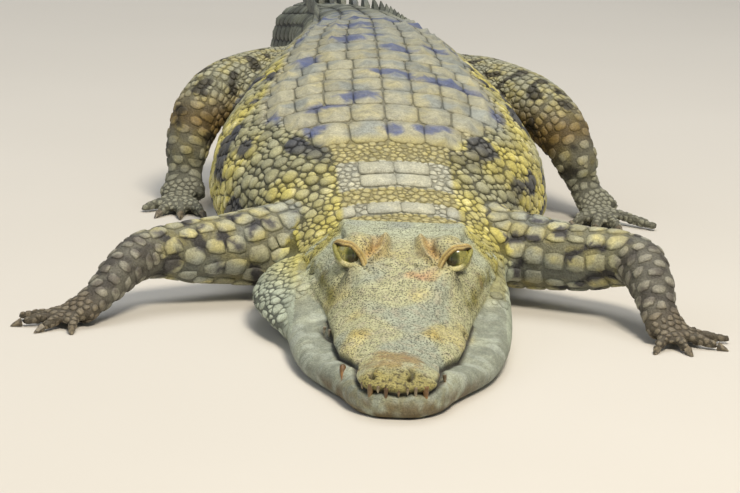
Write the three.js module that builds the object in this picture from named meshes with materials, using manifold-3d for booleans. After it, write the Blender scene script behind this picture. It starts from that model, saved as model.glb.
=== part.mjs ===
// A crocodile at rest, belly and chin on the ground, as a life-size still model.
// Millimetres, +Z up. The animal faces -Y; its own left side is +X.
// The origin is on the ground, under the middle of the trunk.
// Every body part is a loft: rings of points along a line, sized by a short table of stations.
import * as THREE from "three";
import { mergeVertices } from "three/addons/utils/BufferGeometryUtils.js";
import Module from "manifold-3d";

const wasm = await Module();
wasm.setup();

// ---------- driving dimensions ----------
const SKULL = 350; // snout tip to the back of the skull table
const TOTAL_LENGTH = 2500; // along the spine
const ORIGIN_AT = 780; // distance along the spine that stands over the origin
const GAP = 0.3; // clearance between touching parts
const SINK = 5; // how far a resting part is pressed below the ground before it is cut flat

const HIDE = new THREE.MeshStandardMaterial({ color: "#9a9a7c", roughness: 0.7, metalness: 0 });
const PALE_HIDE = new THREE.MeshStandardMaterial({ color: "#b9bda4", roughness: 0.7, metalness: 0 });
const LIMB_HIDE = new THREE.MeshStandardMaterial({ color: "#86876c", roughness: 0.7, metalness: 0 });
const HORN = new THREE.MeshStandardMaterial({ color: "#4b463c", roughness: 0.5, metalness: 0 });
const EYEBALL = new THREE.MeshStandardMaterial({ color: "#6f6a2e", roughness: 0.1, metalness: 0 });

const crocodile = new THREE.Group();

// ---------- small tools ----------
const { clamp, degToRad, lerp, smoothstep } = THREE.MathUtils;

// A smooth reading of a table: rows of [at, ...values] become a function of at that gives named values.
function stations(names, rows) {
  const at = rows.map((row) => row[0]);
  const cubic = new THREE.CubicInterpolant(at, rows.flatMap((row) => row.slice(1)), names.length);
  return (t) => {
    const values = cubic.evaluate(clamp(t, at[0], at[at.length - 1]));
    return Object.fromEntries(names.map((name, i) => [name, values[i]]));
  };
}

// Distances from one end to the other, both included, about step apart.
function spread(from, to, step) {
  const count = Math.max(1, Math.round((to - from) / step));
  return Array.from({ length: count + 1 }, (_, i) => lerp(from, to, i / count));
}

// Rings with equal counts of points become one closed surface, with a fan of faces on each end.
function loft(rings) {
  const size = rings[0].length;
  const middle = (ring) => ring.reduce((sum, p) => sum.add(p), new THREE.Vector3()).divideScalar(size);
  const points = [...rings.flat(), middle(rings[0]), middle(rings.at(-1))];
  const [first, last] = [points.length - 2, points.length - 1];
  const faces = [];
  for (let i = 0; i < size; i++) {
    const next = (i + 1) % size;
    for (let r = 0; r < rings.length - 1; r++) {
      const [a, b] = [r * size + i, r * size + next];
      faces.push(a, b, b + size, a, b + size, a + size);
    }
    const end = (rings.length - 1) * size;
    faces.push(first, next, i, last, end + i, end + next);
  }
  return new THREE.BufferGeometry().setFromPoints(points).setIndex(faces);
}

function solid(geometry) {
  const bare = geometry.clone();
  bare.deleteAttribute("normal");
  bare.deleteAttribute("uv");
  const merged = mergeVertices(bare, 1e-3);
  const made = new wasm.Manifold(
    new wasm.Mesh({
      numProp: 3,
      vertProperties: merged.attributes.position.array,
      triVerts: new Uint32Array(merged.index.array),
    }),
  );
  return made;
}

const union = (solids) => solids.reduce((sum, next) => sum.add(next));
const standOnGround = (body) => body.trimByPlane([0, 0, 1], 0);

function addPart(name, body, material) {
  const { numProp, vertProperties, triVerts } = body.getMesh();
  const geometry = new THREE.BufferGeometry()
    .setAttribute("position", new THREE.BufferAttribute(vertProperties, numProp))
    .setIndex(new THREE.BufferAttribute(triVerts, 1));
  geometry.computeVertexNormals();
  const mesh = new THREE.Mesh(geometry, material);
  mesh.name = name;
  crocodile.add(mesh);
}

// ---------- spine ----------
// The line that the body follows on the ground, from the snout tip. A bend turns it towards the animal's right.
const BENDS = [
  { from: 345, to: 420, degrees: 7 },
  { from: 480, to: 620, degrees: -4.5 },
  { from: 1050, to: 1250, degrees: 2 },
  { from: 1400, to: 1600, degrees: 11 },
  { from: 1650, to: 1900, degrees: -24 },
  { from: 1950, to: 2300, degrees: 14 },
];
const SPINE_STEP = 5;
const heading = (t) =>
  degToRad(BENDS.reduce((sum, bend) => sum + bend.degrees * smoothstep(t, bend.from, bend.to), 0));

const spine = [new THREE.Vector2(0, 0)];
for (let t = 0; t < TOTAL_LENGTH; t += SPINE_STEP) {
  const turn = heading(t + SPINE_STEP / 2);
  const step = new THREE.Vector2(-Math.sin(turn), Math.cos(turn)).multiplyScalar(SPINE_STEP);
  spine.push(spine.at(-1).clone().add(step));
}
const spinePoint = (t) => {
  const place = clamp(t, 0, TOTAL_LENGTH) / SPINE_STEP;
  const i = Math.min(Math.floor(place), spine.length - 2);
  return spine[i].clone().lerp(spine[i + 1], place - i);
};
const origin = spinePoint(ORIGIN_AT);

// A point beside the spine: t along it, x to the animal's left of it, z above the ground.
function beside(t, x, z) {
  const turn = heading(t);
  const foot = spinePoint(t).sub(origin);
  return new THREE.Vector3(foot.x + x * Math.cos(turn), foot.y + x * Math.sin(turn), z);
}

// A place measured from the snout tip: x to the animal's left, y backwards.
const fromSnout = (x, y, z) => new THREE.Vector3(x - origin.x, y - origin.y, z);

// ---------- neck, trunk and tail ----------
// half: half width. top: height. waist: height of the widest level, as a share of top. square: how boxy the section is.
const bodyAt = stations(
  ["half", "top", "waist", "square"],
  [
    [340, 94, 90, 0.42, 2.2],
    [380, 98, 90, 0.4, 2.2],
    [430, 108, 106, 0.38, 2.3],
    [490, 128, 129, 0.37, 2.35],
    [560, 152, 150, 0.36, 2.35],
    [660, 168, 166, 0.34, 2.25],
    [780, 165, 175, 0.34, 2.2],
    [900, 148, 181, 0.36, 2.2],
    [1000, 128, 182, 0.38, 2.25],
    [1100, 112, 176, 0.4, 2.3],
    [1190, 100, 168, 0.42, 2.35],
    [1280, 90, 160, 0.44, 2.45],
    [1400, 78, 148, 0.46, 2.6],
    [1600, 60, 126, 0.47, 2.6],
    [1800, 43, 100, 0.48, 2.4],
    [2000, 29, 77, 0.48, 2.2],
    [2200, 18, 55, 0.48, 2.1],
    [2350, 11, 39, 0.48, 2],
    [2450, 7, 27, 0.48, 2],
    [2500, 3.5, 15, 0.48, 2],
  ],
);
const signedPower = (value, power) => Math.sign(value) * Math.abs(value) ** power;

// One ring of the body: rounded above its widest level, flatter below, and pressed a little into the ground.
function bodyRing(t, sides, grown = 0) {
  const { half, top, waist, square } = bodyAt(t);
  const level = waist * top;
  return Array.from({ length: sides }, (_, i) => {
    const angle = (-2 * Math.PI * i) / sides;
    const across = signedPower(Math.cos(angle), 2 / square) * (half + grown);
    const rise = signedPower(Math.sin(angle), 2 / square);
    const up = level + rise * (rise > 0 ? top - level + grown : level + SINK + grown);
    return beside(t, across, up);
  });
}

// Height of the body's upper surface at x from its middle line.
function bodySurface(t, x) {
  const { half, top, waist, square } = bodyAt(t);
  const share = Math.min(1, Math.abs(x) / half);
  return top * waist + top * (1 - waist) * (1 - share ** square) ** (1 / square);
}

const bodySolid = (places, sides, grown) => solid(loft(places.map((t) => bodyRing(t, sides, grown))));

// ---------- tail crest ----------
const CREST = { from: 1215, join: 1780, to: 2475, pitch: 34, thick: 9, lean: 0.5, root: 8 };
const crestAt = stations(
  ["height"],
  [
    [1215, 8],
    [1350, 17],
    [1600, 28],
    [1790, 37],
    [2100, 36],
    [2350, 24],
    [2475, 10],
  ],
);

// One upright scute: a thin four-sided spike that leans back, rooted in the tail.
function crestScute(t, x) {
  const tall = crestAt(t).height + CREST.root;
  const base = bodySurface(t, x) - CREST.root;
  const spike = new THREE.ConeGeometry(1, tall, 4, 1).rotateX(Math.PI / 2);
  const place = spike.attributes.position;
  for (let i = 0; i < place.count; i++) {
    const rise = place.getZ(i) + tall / 2;
    const along = place.getY(i) * CREST.pitch * 0.47 + rise * CREST.lean;
    const point = beside(t + along, x + (place.getX(i) * CREST.thick) / 2, base + rise);
    place.setXYZ(i, point.x, point.y, point.z);
  }
  return solid(spike);
}

function crestScutes(from, to) {
  const scutes = [];
  for (let t = CREST.from; t < CREST.to; t += CREST.pitch) {
    if (t < from || t >= to) continue;
    const apart = bodyAt(t).half * 0.6 * (1 - smoothstep(t, 1500, CREST.join));
    const places = apart > CREST.thick / 2 ? [-apart, apart] : [0];
    scutes.push(...places.map((x) => crestScute(t, x)));
  }
  return scutes;
}

// ---------- the lengths of the body ----------
const NECK_END = 490;
const TRUNK_MIDDLE = 820;
const crestBreak = (t) => CREST.from + CREST.pitch * (Math.round((t - CREST.from) / CREST.pitch) - 0.5);
const LENGTHS = [
  { name: "neck", from: SKULL, to: NECK_END, step: 23, sides: 20 },
  { name: "trunk_front", from: NECK_END, to: TRUNK_MIDDLE, step: 32, sides: 20 },
  { name: "trunk_rear", from: TRUNK_MIDDLE, to: crestBreak(1190), step: 40, sides: 20 },
  { name: "tail_1", from: crestBreak(1190), to: crestBreak(1400), step: 38, sides: 14 },
  { name: "tail_2", from: crestBreak(1400), to: crestBreak(1600), step: 46, sides: 12 },
  { name: "tail_3", from: crestBreak(1600), to: crestBreak(1850), step: 42, sides: 10 },
  { name: "tail_4", from: crestBreak(1850), to: crestBreak(2150), step: 48, sides: 10 },
  { name: "tail_5", from: crestBreak(2150), to: TOTAL_LENGTH, step: 42, sides: 10 },
];
const ringPlaces = ({ from, to, step }) => spread(from + GAP / 2, to - GAP / 2, step);
for (const length of LENGTHS) {
  const flesh = bodySolid(ringPlaces(length), length.sides);
  addPart(length.name, standOnGround(union([flesh, ...crestScutes(length.from, length.to)])), HIDE);
}
// The neck and trunk, a gap larger all round, are what the limbs and the throat stop against.
const bodyClear = bodySolid([SKULL - GAP, ...LENGTHS.slice(0, 3).flatMap(ringPlaces)], LENGTHS[0].sides, GAP);

// ---------- upper jaw and skull ----------
// Both jaws have their rings at the same places, so that they meet evenly along the mouth.
const HEAD_STATIONS = spread(1, SKULL - GAP / 2, 13);
const CLEAR_STATIONS = [...HEAD_STATIONS, SKULL + GAP];

// Half widths and heights of the section's corners, from the crown down to the mouth line.
const headAt = stations(
  ["crown", "rimX", "rimZ", "cheekX", "cheekZ", "lip", "mouth"],
  [
    [1, 27, 9, 26, 13, 25, 14, 21],
    [8, 33, 15, 31, 21, 29, 24, 22],
    [18, 37, 18, 35, 27, 32, 31, 23],
    [32, 40, 19, 38, 29, 34, 34, 23],
    [46, 40, 18, 39, 28, 34, 33, 24],
    [60, 39, 18, 38, 27, 34, 31, 26],
    [78, 40, 20, 39, 34, 35, 39, 24],
    [105, 44, 23, 42, 44, 37, 49, 21],
    [130, 48, 25, 46, 45, 39, 51, 22],
    [160, 55, 27, 52, 46, 42, 52, 25],
    [200, 68, 35, 65, 51, 50, 58, 28],
    [222, 77, 40, 76, 56, 56, 63, 30],
    [250, 84, 42, 88, 63, 62, 70, 36],
    [275, 89, 44, 93, 68, 66, 75, 43],
    [300, 92, 47, 94, 72, 68, 79, 50],
    [330, 94, 50, 95, 76, 70, 84, 57],
    [350, 92, 51, 92, 80, 68, 84, 60],
  ],
);

function mirroredRing(y, side) {
  const [first, ...rest] = side;
  const last = rest.pop();
  const left = rest.map(([x, z]) => fromSnout(x, y, z));
  const right = rest.map(([x, z]) => fromSnout(-x, y, z)).reverse();
  return [fromSnout(0, y, first[1]), ...left, fromSnout(0, y, last[1]), ...right];
}

function headRing(t) {
  const h = headAt(t);
  const floor = h.mouth + GAP / 2;
  return mirroredRing(t, [
    [0, h.crown],
    [h.rimX * 0.55, h.crown],
    [h.rimX, h.rimZ],
    [h.cheekX, h.cheekZ],
    [lerp(h.cheekX, h.lip, 0.75) + 0.5, lerp(h.cheekZ, floor, 0.5)],
    [h.lip, floor + 3],
    [h.lip - 3, floor],
    [0, floor],
  ]);
}

const EYE = { x: 43, y: 236, z: 85, radius: 12 };
const ORBIT = { x: 39, y: 251, z: 88, wide: 14, long: 22, tall: 13 };
const ellipsoid = (x, y, z, wide, long, tall, around, stacks) => {
  const place = fromSnout(x, y, z);
  const ball = new THREE.SphereGeometry(1, around, stacks).rotateX(Math.PI / 2);
  return solid(ball.scale(wide, long, tall).translate(place.x, place.y, place.z));
};
const eyeball = (side, grown) => {
  const radius = EYE.radius + grown;
  return ellipsoid(side * EYE.x, EYE.y, EYE.z, radius, radius, radius, 11, 7);
};

// ---------- teeth ----------
// A tooth hangs from a jaw's rim. Its root stands inside the jaw, so both are one solid.
function tooth(x, y, z, length, radius, lean) {
  const root = 4;
  const cone = new THREE.ConeGeometry(radius, length + root, 4, 1).rotateX(-Math.PI / 2);
  cone.translate(0, 0, root - (length + root) / 2).rotateY(lean);
  const place = fromSnout(x, y, z);
  return solid(cone.translate(place.x, place.y, place.z));
}
const UPPER_TEETH = [
  { t: 9, length: 11, radius: 2.8 },
  { t: 18, length: 13, radius: 3.4 },
  { t: 30, length: 15, radius: 4 },
  { t: 42, length: 10, radius: 3 },
  { t: 84, length: 10, radius: 3.2 },
  { t: 97, length: 13, radius: 4 },
  { t: 111, length: 15, radius: 4.4 },
  { t: 125, length: 11, radius: 3.6 },
  { t: 152, length: 9, radius: 3.2 },
];
const FOURTH_TOOTH = { t: 58, x: 38, length: 15, radius: 4.2, lean: 0.1 };

let head = solid(loft(HEAD_STATIONS.map(headRing)));
for (const side of [-1, 1]) {
  const orbit = ellipsoid(side * ORBIT.x, ORBIT.y, ORBIT.z, ORBIT.wide, ORBIT.long, ORBIT.tall, 10, 6);
  head = head.add(orbit).subtract(eyeball(side, GAP));
  addPart(side > 0 ? "eye_left" : "eye_right", eyeball(side, 0), EYEBALL);
}
const upperTeeth = UPPER_TEETH.flatMap(({ t, length, radius }) => {
  const { lip, mouth } = headAt(t);
  return [-1, 1].map((side) => tooth(side * (lip - 2), t, mouth, length, radius, side * 0.1));
});
head = union([head, ...upperTeeth]);

// ---------- lower jaw ----------
const jawAt = stations(
  ["half"],
  [
    [1, 15],
    [6, 23],
    [15, 33],
    [30, 42],
    [50, 48],
    [80, 62],
    [105, 74],
    [135, 85],
    [190, 95],
    [240, 100],
    [290, 100],
    [330, 97],
    [350, 93],
  ],
);

function jawRing(t, grown = 0) {
  const { half } = jawAt(t);
  const roof = headAt(t).mouth - GAP / 2 + grown;
  const wide = half + grown;
  const deep = SINK + grown;
  return mirroredRing(t, [
    [0, roof],
    [wide * 0.6, roof],
    [wide * 0.9, roof],
    [wide, roof * 0.6],
    [wide * 0.97, roof * 0.28],
    [wide * 0.86, -deep],
    [0, -deep],
  ]);
}
const jawSolid = (places, grown) => solid(loft(places.map((t) => jawRing(t, grown))));

const fourthTeeth = [-1, 1].map((side) => {
  const { t, x, length, radius, lean } = FOURTH_TOOTH;
  const upright = tooth(0, 0, 0, length, radius, 0);
  const place = fromSnout(side * x, t, headAt(t).mouth);
  const zero = fromSnout(0, 0, 0);
  return upright
    .translate([-zero.x, -zero.y, 0])
    .mirror([0, 0, 1])
    .rotate([0, side * THREE.MathUtils.radToDeg(lean), 0])
    .translate([place.x, place.y, place.z]);
});
const lowerJaw = union([standOnGround(jawSolid(HEAD_STATIONS, 0)), ...fourthTeeth]);

// Each jaw's teeth stand clear of the other jaw.
const upperClear = union(
  UPPER_TEETH.flatMap(({ t, length, radius }) => {
    const { lip, mouth } = headAt(t);
    return [-1, 1].map((side) => tooth(side * (lip - 2), t, mouth, length + 1, radius + GAP, side * 0.1));
  }),
);
addPart("head", head.subtract(union(fourthTeeth)), HIDE);
addPart("lower_jaw", lowerJaw.subtract(upperClear), PALE_HIDE);

// ---------- throat fold ----------
// Loose skin that bulges out beside the jaw on the animal's right.
const throatAt = stations(
  ["left", "right", "top"],
  [
    [205, 40, 90, 20],
    [230, 40, 106, 36],
    [270, 40, 126, 52],
    [310, 40, 136, 62],
    [345, 40, 136, 68],
    [390, 40, 124, 68],
    [430, 40, 108, 56],
  ],
);
function throatRing(t) {
  const { left, right, top } = throatAt(t);
  const sides = 14;
  return Array.from({ length: sides }, (_, i) => {
    const angle = (-2 * Math.PI * i) / sides;
    const across = Math.cos(angle) * (Math.cos(angle) > 0 ? left : right);
    return fromSnout(across, t, top * 0.4 + Math.sin(angle) * (Math.sin(angle) > 0 ? top * 0.6 : top * 0.4 + SINK));
  });
}
const jawClear = jawSolid(CLEAR_STATIONS, GAP);
const headClear = solid(
  loft(
    CLEAR_STATIONS.map((t) => {
      const { lip } = headAt(t);
      const wide = lip + GAP;
      return mirroredRing(t, [
        [0, 120],
        [wide, 120],
        [wide, 10],
        [0, 10],
      ]);
    }),
  ),
);
const fold = solid(loft(spread(205, 430, 22).map(throatRing)));
const throat = standOnGround(fold.subtract(jawClear).subtract(headClear).subtract(bodyClear));
addPart("throat_fold", throat, PALE_HIDE);

// ---------- limbs ----------
// A limb follows a smooth line through its joints. Each joint has a place, a half width and a half height.
const point = (x, y, z, wide, tall) => ({ at: fromSnout(x, y, z), wide, tall });

function limbCurve(joints) {
  const places = joints.map((joint) => joint.at);
  return new THREE.CatmullRomCurve3(places, false, "centripetal");
}

function limbRings(joints, from, to, count, sides, grown = 0) {
  const curve = limbCurve(joints);
  const up = new THREE.Vector3(0, 0, 1);
  const fine = 60;
  const side = new THREE.Vector3().crossVectors(curve.getTangent(0), up).normalize();
  const frames = Array.from({ length: fine + 1 }, (_, k) => {
    const along = curve.getTangent(k / fine);
    const level = new THREE.Vector3().crossVectors(along, up);
    const flat = level.length();
    side.addScaledVector(along, -side.dot(along)).normalize();
    level.normalize().multiplyScalar(Math.sign(level.dot(side)) || 1);
    side.lerp(level, 0.5 * flat ** 2).normalize();
    return side.clone();
  });
  return Array.from({ length: count + 1 }, (_, r) => {
    const share = lerp(from, to, r / count);
    const along = curve.getTangent(share);
    const frame = frames[Math.round(share * fine)].clone();
    frame.addScaledVector(along, -frame.dot(along)).normalize();
    const rise = new THREE.Vector3().crossVectors(frame, along);
    const centre = curve.getPoint(share);
    const place = share * (joints.length - 1);
    const i = Math.min(Math.floor(place), joints.length - 2);
    const ease = smoothstep(place - i, 0, 1);
    const wide = lerp(joints[i].wide, joints[i + 1].wide, ease) + grown;
    const tall = lerp(joints[i].tall, joints[i + 1].tall, ease) + grown;
    return Array.from({ length: sides }, (_, s) => {
      const angle = (-2 * Math.PI * s) / sides;
      return centre
        .clone()
        .addScaledVector(frame, Math.cos(angle) * wide)
        .addScaledVector(rise, Math.sin(angle) * tall);
    });
  });
}
const limbLength = (...shape) => solid(loft(limbRings(...shape)));

// A digit runs from the palm over a knuckle to its tip. A claw stands past the tip and curves down.
const DIGIT_SIDES = 5;
const CLAW = { length: 16, radius: 4, dip: 0.3 };

function digitJoints(palm, digit) {
  const knuckle = palm.at.clone().lerp(digit.tip, 0.5);
  knuckle.z = digit.tip.z + 5;
  return [
    { at: palm.at, wide: digit.thick * 1.15, tall: digit.thick * 0.9 },
    { at: knuckle, wide: digit.thick * 1.05, tall: digit.thick },
    { at: digit.tip, wide: digit.thick * 0.72, tall: digit.thick * 0.72 },
  ];
}
const digitSolid = (palm, digit) => limbLength(digitJoints(palm, digit), 0, 1, 3, DIGIT_SIDES);

function clawSolid(palm, digit) {
  const along = limbCurve(digitJoints(palm, digit)).getTangent(1);
  const side = new THREE.Vector3().crossVectors(along, new THREE.Vector3(0, 0, 1)).normalize();
  const rise = new THREE.Vector3().crossVectors(side, along);
  const cone = new THREE.ConeGeometry(CLAW.radius, CLAW.length, 5, 2).translate(0, CLAW.length / 2, 0);
  const place = cone.attributes.position;
  for (let i = 0; i < place.count; i++) {
    const reach = place.getY(i);
    const point = digit.tip
      .clone()
      .addScaledVector(along, reach + GAP)
      .addScaledVector(side, place.getX(i))
      .addScaledVector(rise, place.getZ(i) - (CLAW.dip * reach ** 2) / CLAW.length);
    place.setXYZ(i, point.x, point.y, point.z);
  }
  return standOnGround(solid(cone));
}

// Half of the gap is cut from each of the two lengths that meet at a joint.
function startAfter(body, curve, share) {
  const along = curve.getTangent(share);
  return body.trimByPlane(along.toArray(), along.dot(curve.getPoint(share)) + GAP / 2);
}
function endBefore(body, curve, share) {
  const back = curve.getTangent(share).negate();
  return body.trimByPlane(back.toArray(), back.dot(curve.getPoint(share)) + GAP / 2);
}

function addLimb(side, names, joints, digits, cutters) {
  const curve = limbCurve(joints);
  const [bend, wrist, past] = [3 / 6, 5 / 6, 0.03];
  const clear = cutters.reduce((body, cutter) => body.subtract(cutter), limbLength(joints, 0, bend + past, 6, 12));
  const upper = endBefore(clear, curve, bend);
  const lower = endBefore(
    startAfter(limbLength(joints, bend - past, wrist + past, 5, 12), curve, bend),
    curve,
    wrist,
  );
  const sole = joints.at(-1);
  const palm = limbLength(joints, wrist - past, 1, 2, 10);
  const hand = startAfter(union([palm, ...digits.map((digit) => digitSolid(sole, digit))]), curve, wrist);
  addPart(`${names[0]}_${side}`, standOnGround(upper), LIMB_HIDE);
  addPart(`${names[1]}_${side}`, standOnGround(lower), LIMB_HIDE);
  addPart(`${names[2]}_${side}`, standOnGround(hand), LIMB_HIDE);
  digits
    .filter((digit) => digit.clawed)
    .forEach((digit, i) => addPart(`${names[2]}_claw_${side}_${i + 1}`, clawSolid(sole, digit), HORN));
}

const digit = (x, y, thick, clawed) => ({ tip: fromSnout(x, y, thick * 0.55), thick, clawed });

const ARM = ["upper_arm", "forearm", "hand"];
const LEG = ["thigh", "shank", "foot"];
addLimb(
  "left",
  ARM,
  [
    point(50, 470, 52, 42, 40),
    point(112, 448, 49, 40, 37),
    point(168, 416, 50, 32, 31),
    point(211, 388, 57, 26, 26),
    point(224, 352, 44, 23, 23),
    point(230, 320, 23, 19, 15),
    point(238, 300, 10, 21, 11),
  ],
  [
    digit(226, 266, 6.5, true),
    digit(252, 264, 6.5, true),
    digit(280, 284, 6.5, true),
    digit(293, 312, 6, false),
    digit(270, 334, 6, false),
  ],
  [bodyClear],
);
addLimb(
  "right",
  ARM,
  [
    point(-80, 452, 52, 42, 40),
    point(-132, 432, 47, 40, 38),
    point(-186, 404, 46, 31, 31),
    point(-230, 376, 49, 24, 24),
    point(-252, 338, 38, 20, 20),
    point(-270, 308, 20, 18, 14),
    point(-286, 292, 10, 20, 11),
  ],
  [
    digit(-286, 260, 6.5, true),
    digit(-312, 260, 6.5, true),
    digit(-332, 278, 6.5, true),
    digit(-338, 302, 6, false),
    digit(-314, 326, 6, false),
  ],
  [bodyClear, fold],
);
addLimb(
  "left",
  LEG,
  [
    point(30, 1060, 100, 46, 44),
    point(80, 1010, 108, 46, 42),
    point(126, 950, 108, 38, 36),
    point(158, 902, 96, 32, 32),
    point(180, 880, 62, 26, 26),
    point(190, 882, 32, 20, 18),
    point(208, 856, 12, 27, 12),
  ],
  [
    digit(176, 812, 8, true),
    digit(200, 796, 8, true),
    digit(224, 796, 8, true),
    digit(264, 812, 7, false),
  ],
  [bodyClear],
);
addLimb(
  "right",
  LEG,
  [
    point(-105, 1060, 100, 46, 44),
    point(-145, 1010, 110, 46, 42),
    point(-188, 945, 112, 38, 36),
    point(-216, 900, 100, 31, 31),
    point(-230, 876, 62, 26, 26),
    point(-232, 868, 32, 20, 18),
    point(-232, 844, 12, 27, 12),
  ],
  [
    digit(-208, 796, 8, true),
    digit(-230, 788, 8, true),
    digit(-252, 792, 8, true),
    digit(-272, 812, 7, false),
  ],
  [bodyClear],
);

export default crocodile;
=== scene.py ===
import math

import bmesh
import bpy
import numpy as np
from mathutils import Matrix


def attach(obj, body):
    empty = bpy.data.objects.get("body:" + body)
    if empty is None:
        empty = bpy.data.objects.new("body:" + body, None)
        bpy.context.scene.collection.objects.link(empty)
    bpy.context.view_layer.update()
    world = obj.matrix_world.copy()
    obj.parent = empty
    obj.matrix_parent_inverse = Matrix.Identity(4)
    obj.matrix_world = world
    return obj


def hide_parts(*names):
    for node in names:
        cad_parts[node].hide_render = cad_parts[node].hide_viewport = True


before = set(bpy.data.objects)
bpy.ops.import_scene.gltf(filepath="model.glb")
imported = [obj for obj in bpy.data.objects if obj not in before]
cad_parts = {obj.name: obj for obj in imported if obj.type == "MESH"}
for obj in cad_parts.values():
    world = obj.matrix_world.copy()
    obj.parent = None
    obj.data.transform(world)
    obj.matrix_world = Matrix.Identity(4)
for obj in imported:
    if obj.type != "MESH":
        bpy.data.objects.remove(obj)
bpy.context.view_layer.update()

import openvdb
from mathutils import Matrix, Vector, noise
from mathutils.bvhtree import BVHTree
from mathutils.kdtree import KDTree

# ---------- the body's line ----------
# The animal lies on a line that bends gently over the ground. Places are told by t, the distance
# back along that line from the snout tip, and by x, the distance to the animal's left of it (mm).
SNOUT = np.array([30.45, -778.66, 0.0])
BENDS = [
    (345, 420, 7), (480, 620, -4.5), (1050, 1250, 2), (1400, 1600, 11), (1650, 1900, -24),
    (1950, 2300, 14),
]
LENGTH = 2500


def ease(value, start, end):
    share = np.clip((value - start) / (end - start), 0, 1)
    return share * share * (3 - 2 * share)


def at_place(place, knots, values):
    """Each column of values, told at knots, read off at place."""
    return np.stack([np.interp(place, knots, values[:, k]) for k in range(values.shape[1])], -1)


def heading(t):
    return np.radians(sum(degrees * ease(t, start, end) for start, end, degrees in BENDS))


LINE_STEP = 5
line_t = np.arange(0, LENGTH + LINE_STEP, LINE_STEP, dtype=float)
line_turn = heading(line_t[:-1] + LINE_STEP / 2)
line_steps = np.stack([-np.sin(line_turn), np.cos(line_turn)], 1) * LINE_STEP
line_xy = np.vstack([[0, 0], np.cumsum(line_steps, 0)]) + SNOUT[:2]


AT_ONCE = 200


def along_line(points):
    """(t, x) in mm of points in mm."""
    nearest = np.empty(len(points), int)
    for start in range(0, len(points), AT_ONCE):
        part = points[start : start + AT_ONCE]
        gap = (part[:, :1] - line_xy[:, 0]) ** 2 + (part[:, 1:2] - line_xy[:, 1]) ** 2
        nearest[start : start + AT_ONCE] = gap.argmin(1)
    turn = heading(line_t[nearest])
    off = points[:, :2] - line_xy[nearest]
    x = off[:, 0] * np.cos(turn) + off[:, 1] * np.sin(turn)
    return line_t[nearest] - off[:, 0] * np.sin(turn) + off[:, 1] * np.cos(turn), x


def beside_line(t, x):
    """Ground place in mm at t along the line and x to the left of it."""
    turn = heading(t)
    return at_place(t, line_t, line_xy) + np.stack([x * np.cos(turn), x * np.sin(turn)], -1)


def back_and_left(t):
    """Level directions at t: back along the line, and to the animal's left."""
    turn = float(heading(np.array([t]))[0])
    return np.array([-math.sin(turn), math.cos(turn), 0]), np.array([math.cos(turn), math.sin(turn), 0])


# ---------- the limbs' lines ----------
# Each leg follows a line through its joints, from the body to the palm: x and y from the snout
# tip, height, and half thickness (mm). The share along it tells upper arm, forearm and hand apart.
LIMBS = {
    "arm_left": [
        (50, 470, 52, 42), (112, 448, 49, 40), (168, 416, 50, 32), (211, 388, 57, 26),
        (224, 352, 44, 23), (230, 320, 23, 17), (238, 300, 10, 16), (252, 268, 5, 20),
    ],
    "arm_right": [
        (-80, 452, 52, 42), (-132, 432, 47, 40), (-186, 404, 46, 31), (-230, 376, 49, 24),
        (-252, 338, 38, 20), (-270, 308, 20, 16), (-286, 292, 10, 15), (-312, 266, 5, 20),
    ],
    "leg_left": [
        (30, 1060, 100, 46), (80, 1010, 108, 46), (126, 950, 108, 38), (158, 902, 96, 32),
        (180, 880, 62, 26), (190, 882, 32, 19), (208, 856, 12, 18), (216, 806, 6, 26),
    ],
    "leg_right": [
        (-105, 1060, 100, 46), (-145, 1010, 110, 46), (-188, 945, 112, 38), (-216, 900, 100, 31),
        (-230, 876, 62, 26), (-232, 868, 32, 19), (-232, 844, 12, 18), (-240, 800, 6, 26),
    ],
}
BODY_SHAPE = [
    (0, 20, 22), (60, 40, 36), (105, 55, 46), (200, 72, 66), (250, 92, 84), (350, 94, 92),
    (430, 108, 106), (490, 128, 129), (560, 152, 150), (660, 168, 166), (780, 165, 175),
    (900, 148, 181), (1000, 128, 182), (1100, 112, 176), (1190, 100, 168), (1280, 90, 160),
    (1400, 78, 148), (1600, 60, 126), (1800, 43, 100), (2000, 29, 77), (2200, 18, 55),
    (2350, 11, 39), (2500, 4, 15),
]
body_t, body_half, body_top = np.array(BODY_SHAPE, float).T
limb_lines = [np.array(joints, float) for joints in LIMBS.values()]
limb_paths = [line[:, :3] + SNOUT for line in limb_lines]


def to_piece(points, start, end):
    """Distance of each point to a straight piece, and the share along it of the nearest place."""
    step = end - start
    u = np.clip(((points - start) @ step) / (step @ step), 0, 1)
    return np.linalg.norm(points - start - u[:, None] * step, axis=1), u


ROUNDNESS = 2.3  # power of the body's section, 2 being an ellipse


def limb_of(points, t, x):
    """Index of the limb that each point belongs to, or -1 for the body, and the share along that limb."""
    half, top = np.interp(t, body_t, body_half), np.interp(t, body_t, body_top)
    level = top * 0.4
    above = points[:, 2] - level
    rise = np.where(above > 0, above / (top - level), -above / (level + 5))
    best = (np.abs(x / half) ** ROUNDNESS + np.abs(rise) ** ROUNDNESS) ** (1 / ROUNDNESS)
    owner = np.full(len(points), -1)
    share = np.zeros(len(points))
    for index, (line, place) in enumerate(zip(limb_lines, limb_paths)):
        for j in range(len(place) - 1):
            gap, u = to_piece(points, place[j], place[j + 1])
            reach = gap / (line[j, 3] + u * (line[j + 1, 3] - line[j, 3]))
            closer = reach < best
            best = np.where(closer, reach, best)
            owner = np.where(closer, index, owner)
            share = np.where(closer, (j + u) / (len(place) - 1), share)
    return owner, share


# ---------- the skin ----------
# The flesh under the scales: a cast rubber skin over the whole animal in one piece, eyes left out.
# It is the CAD flesh, joined, its gaps closed, its teeth and crest taken off, and sunk by the scales' depth.
flesh = [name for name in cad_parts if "claw" not in name and not name.startswith("eye")]


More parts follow.
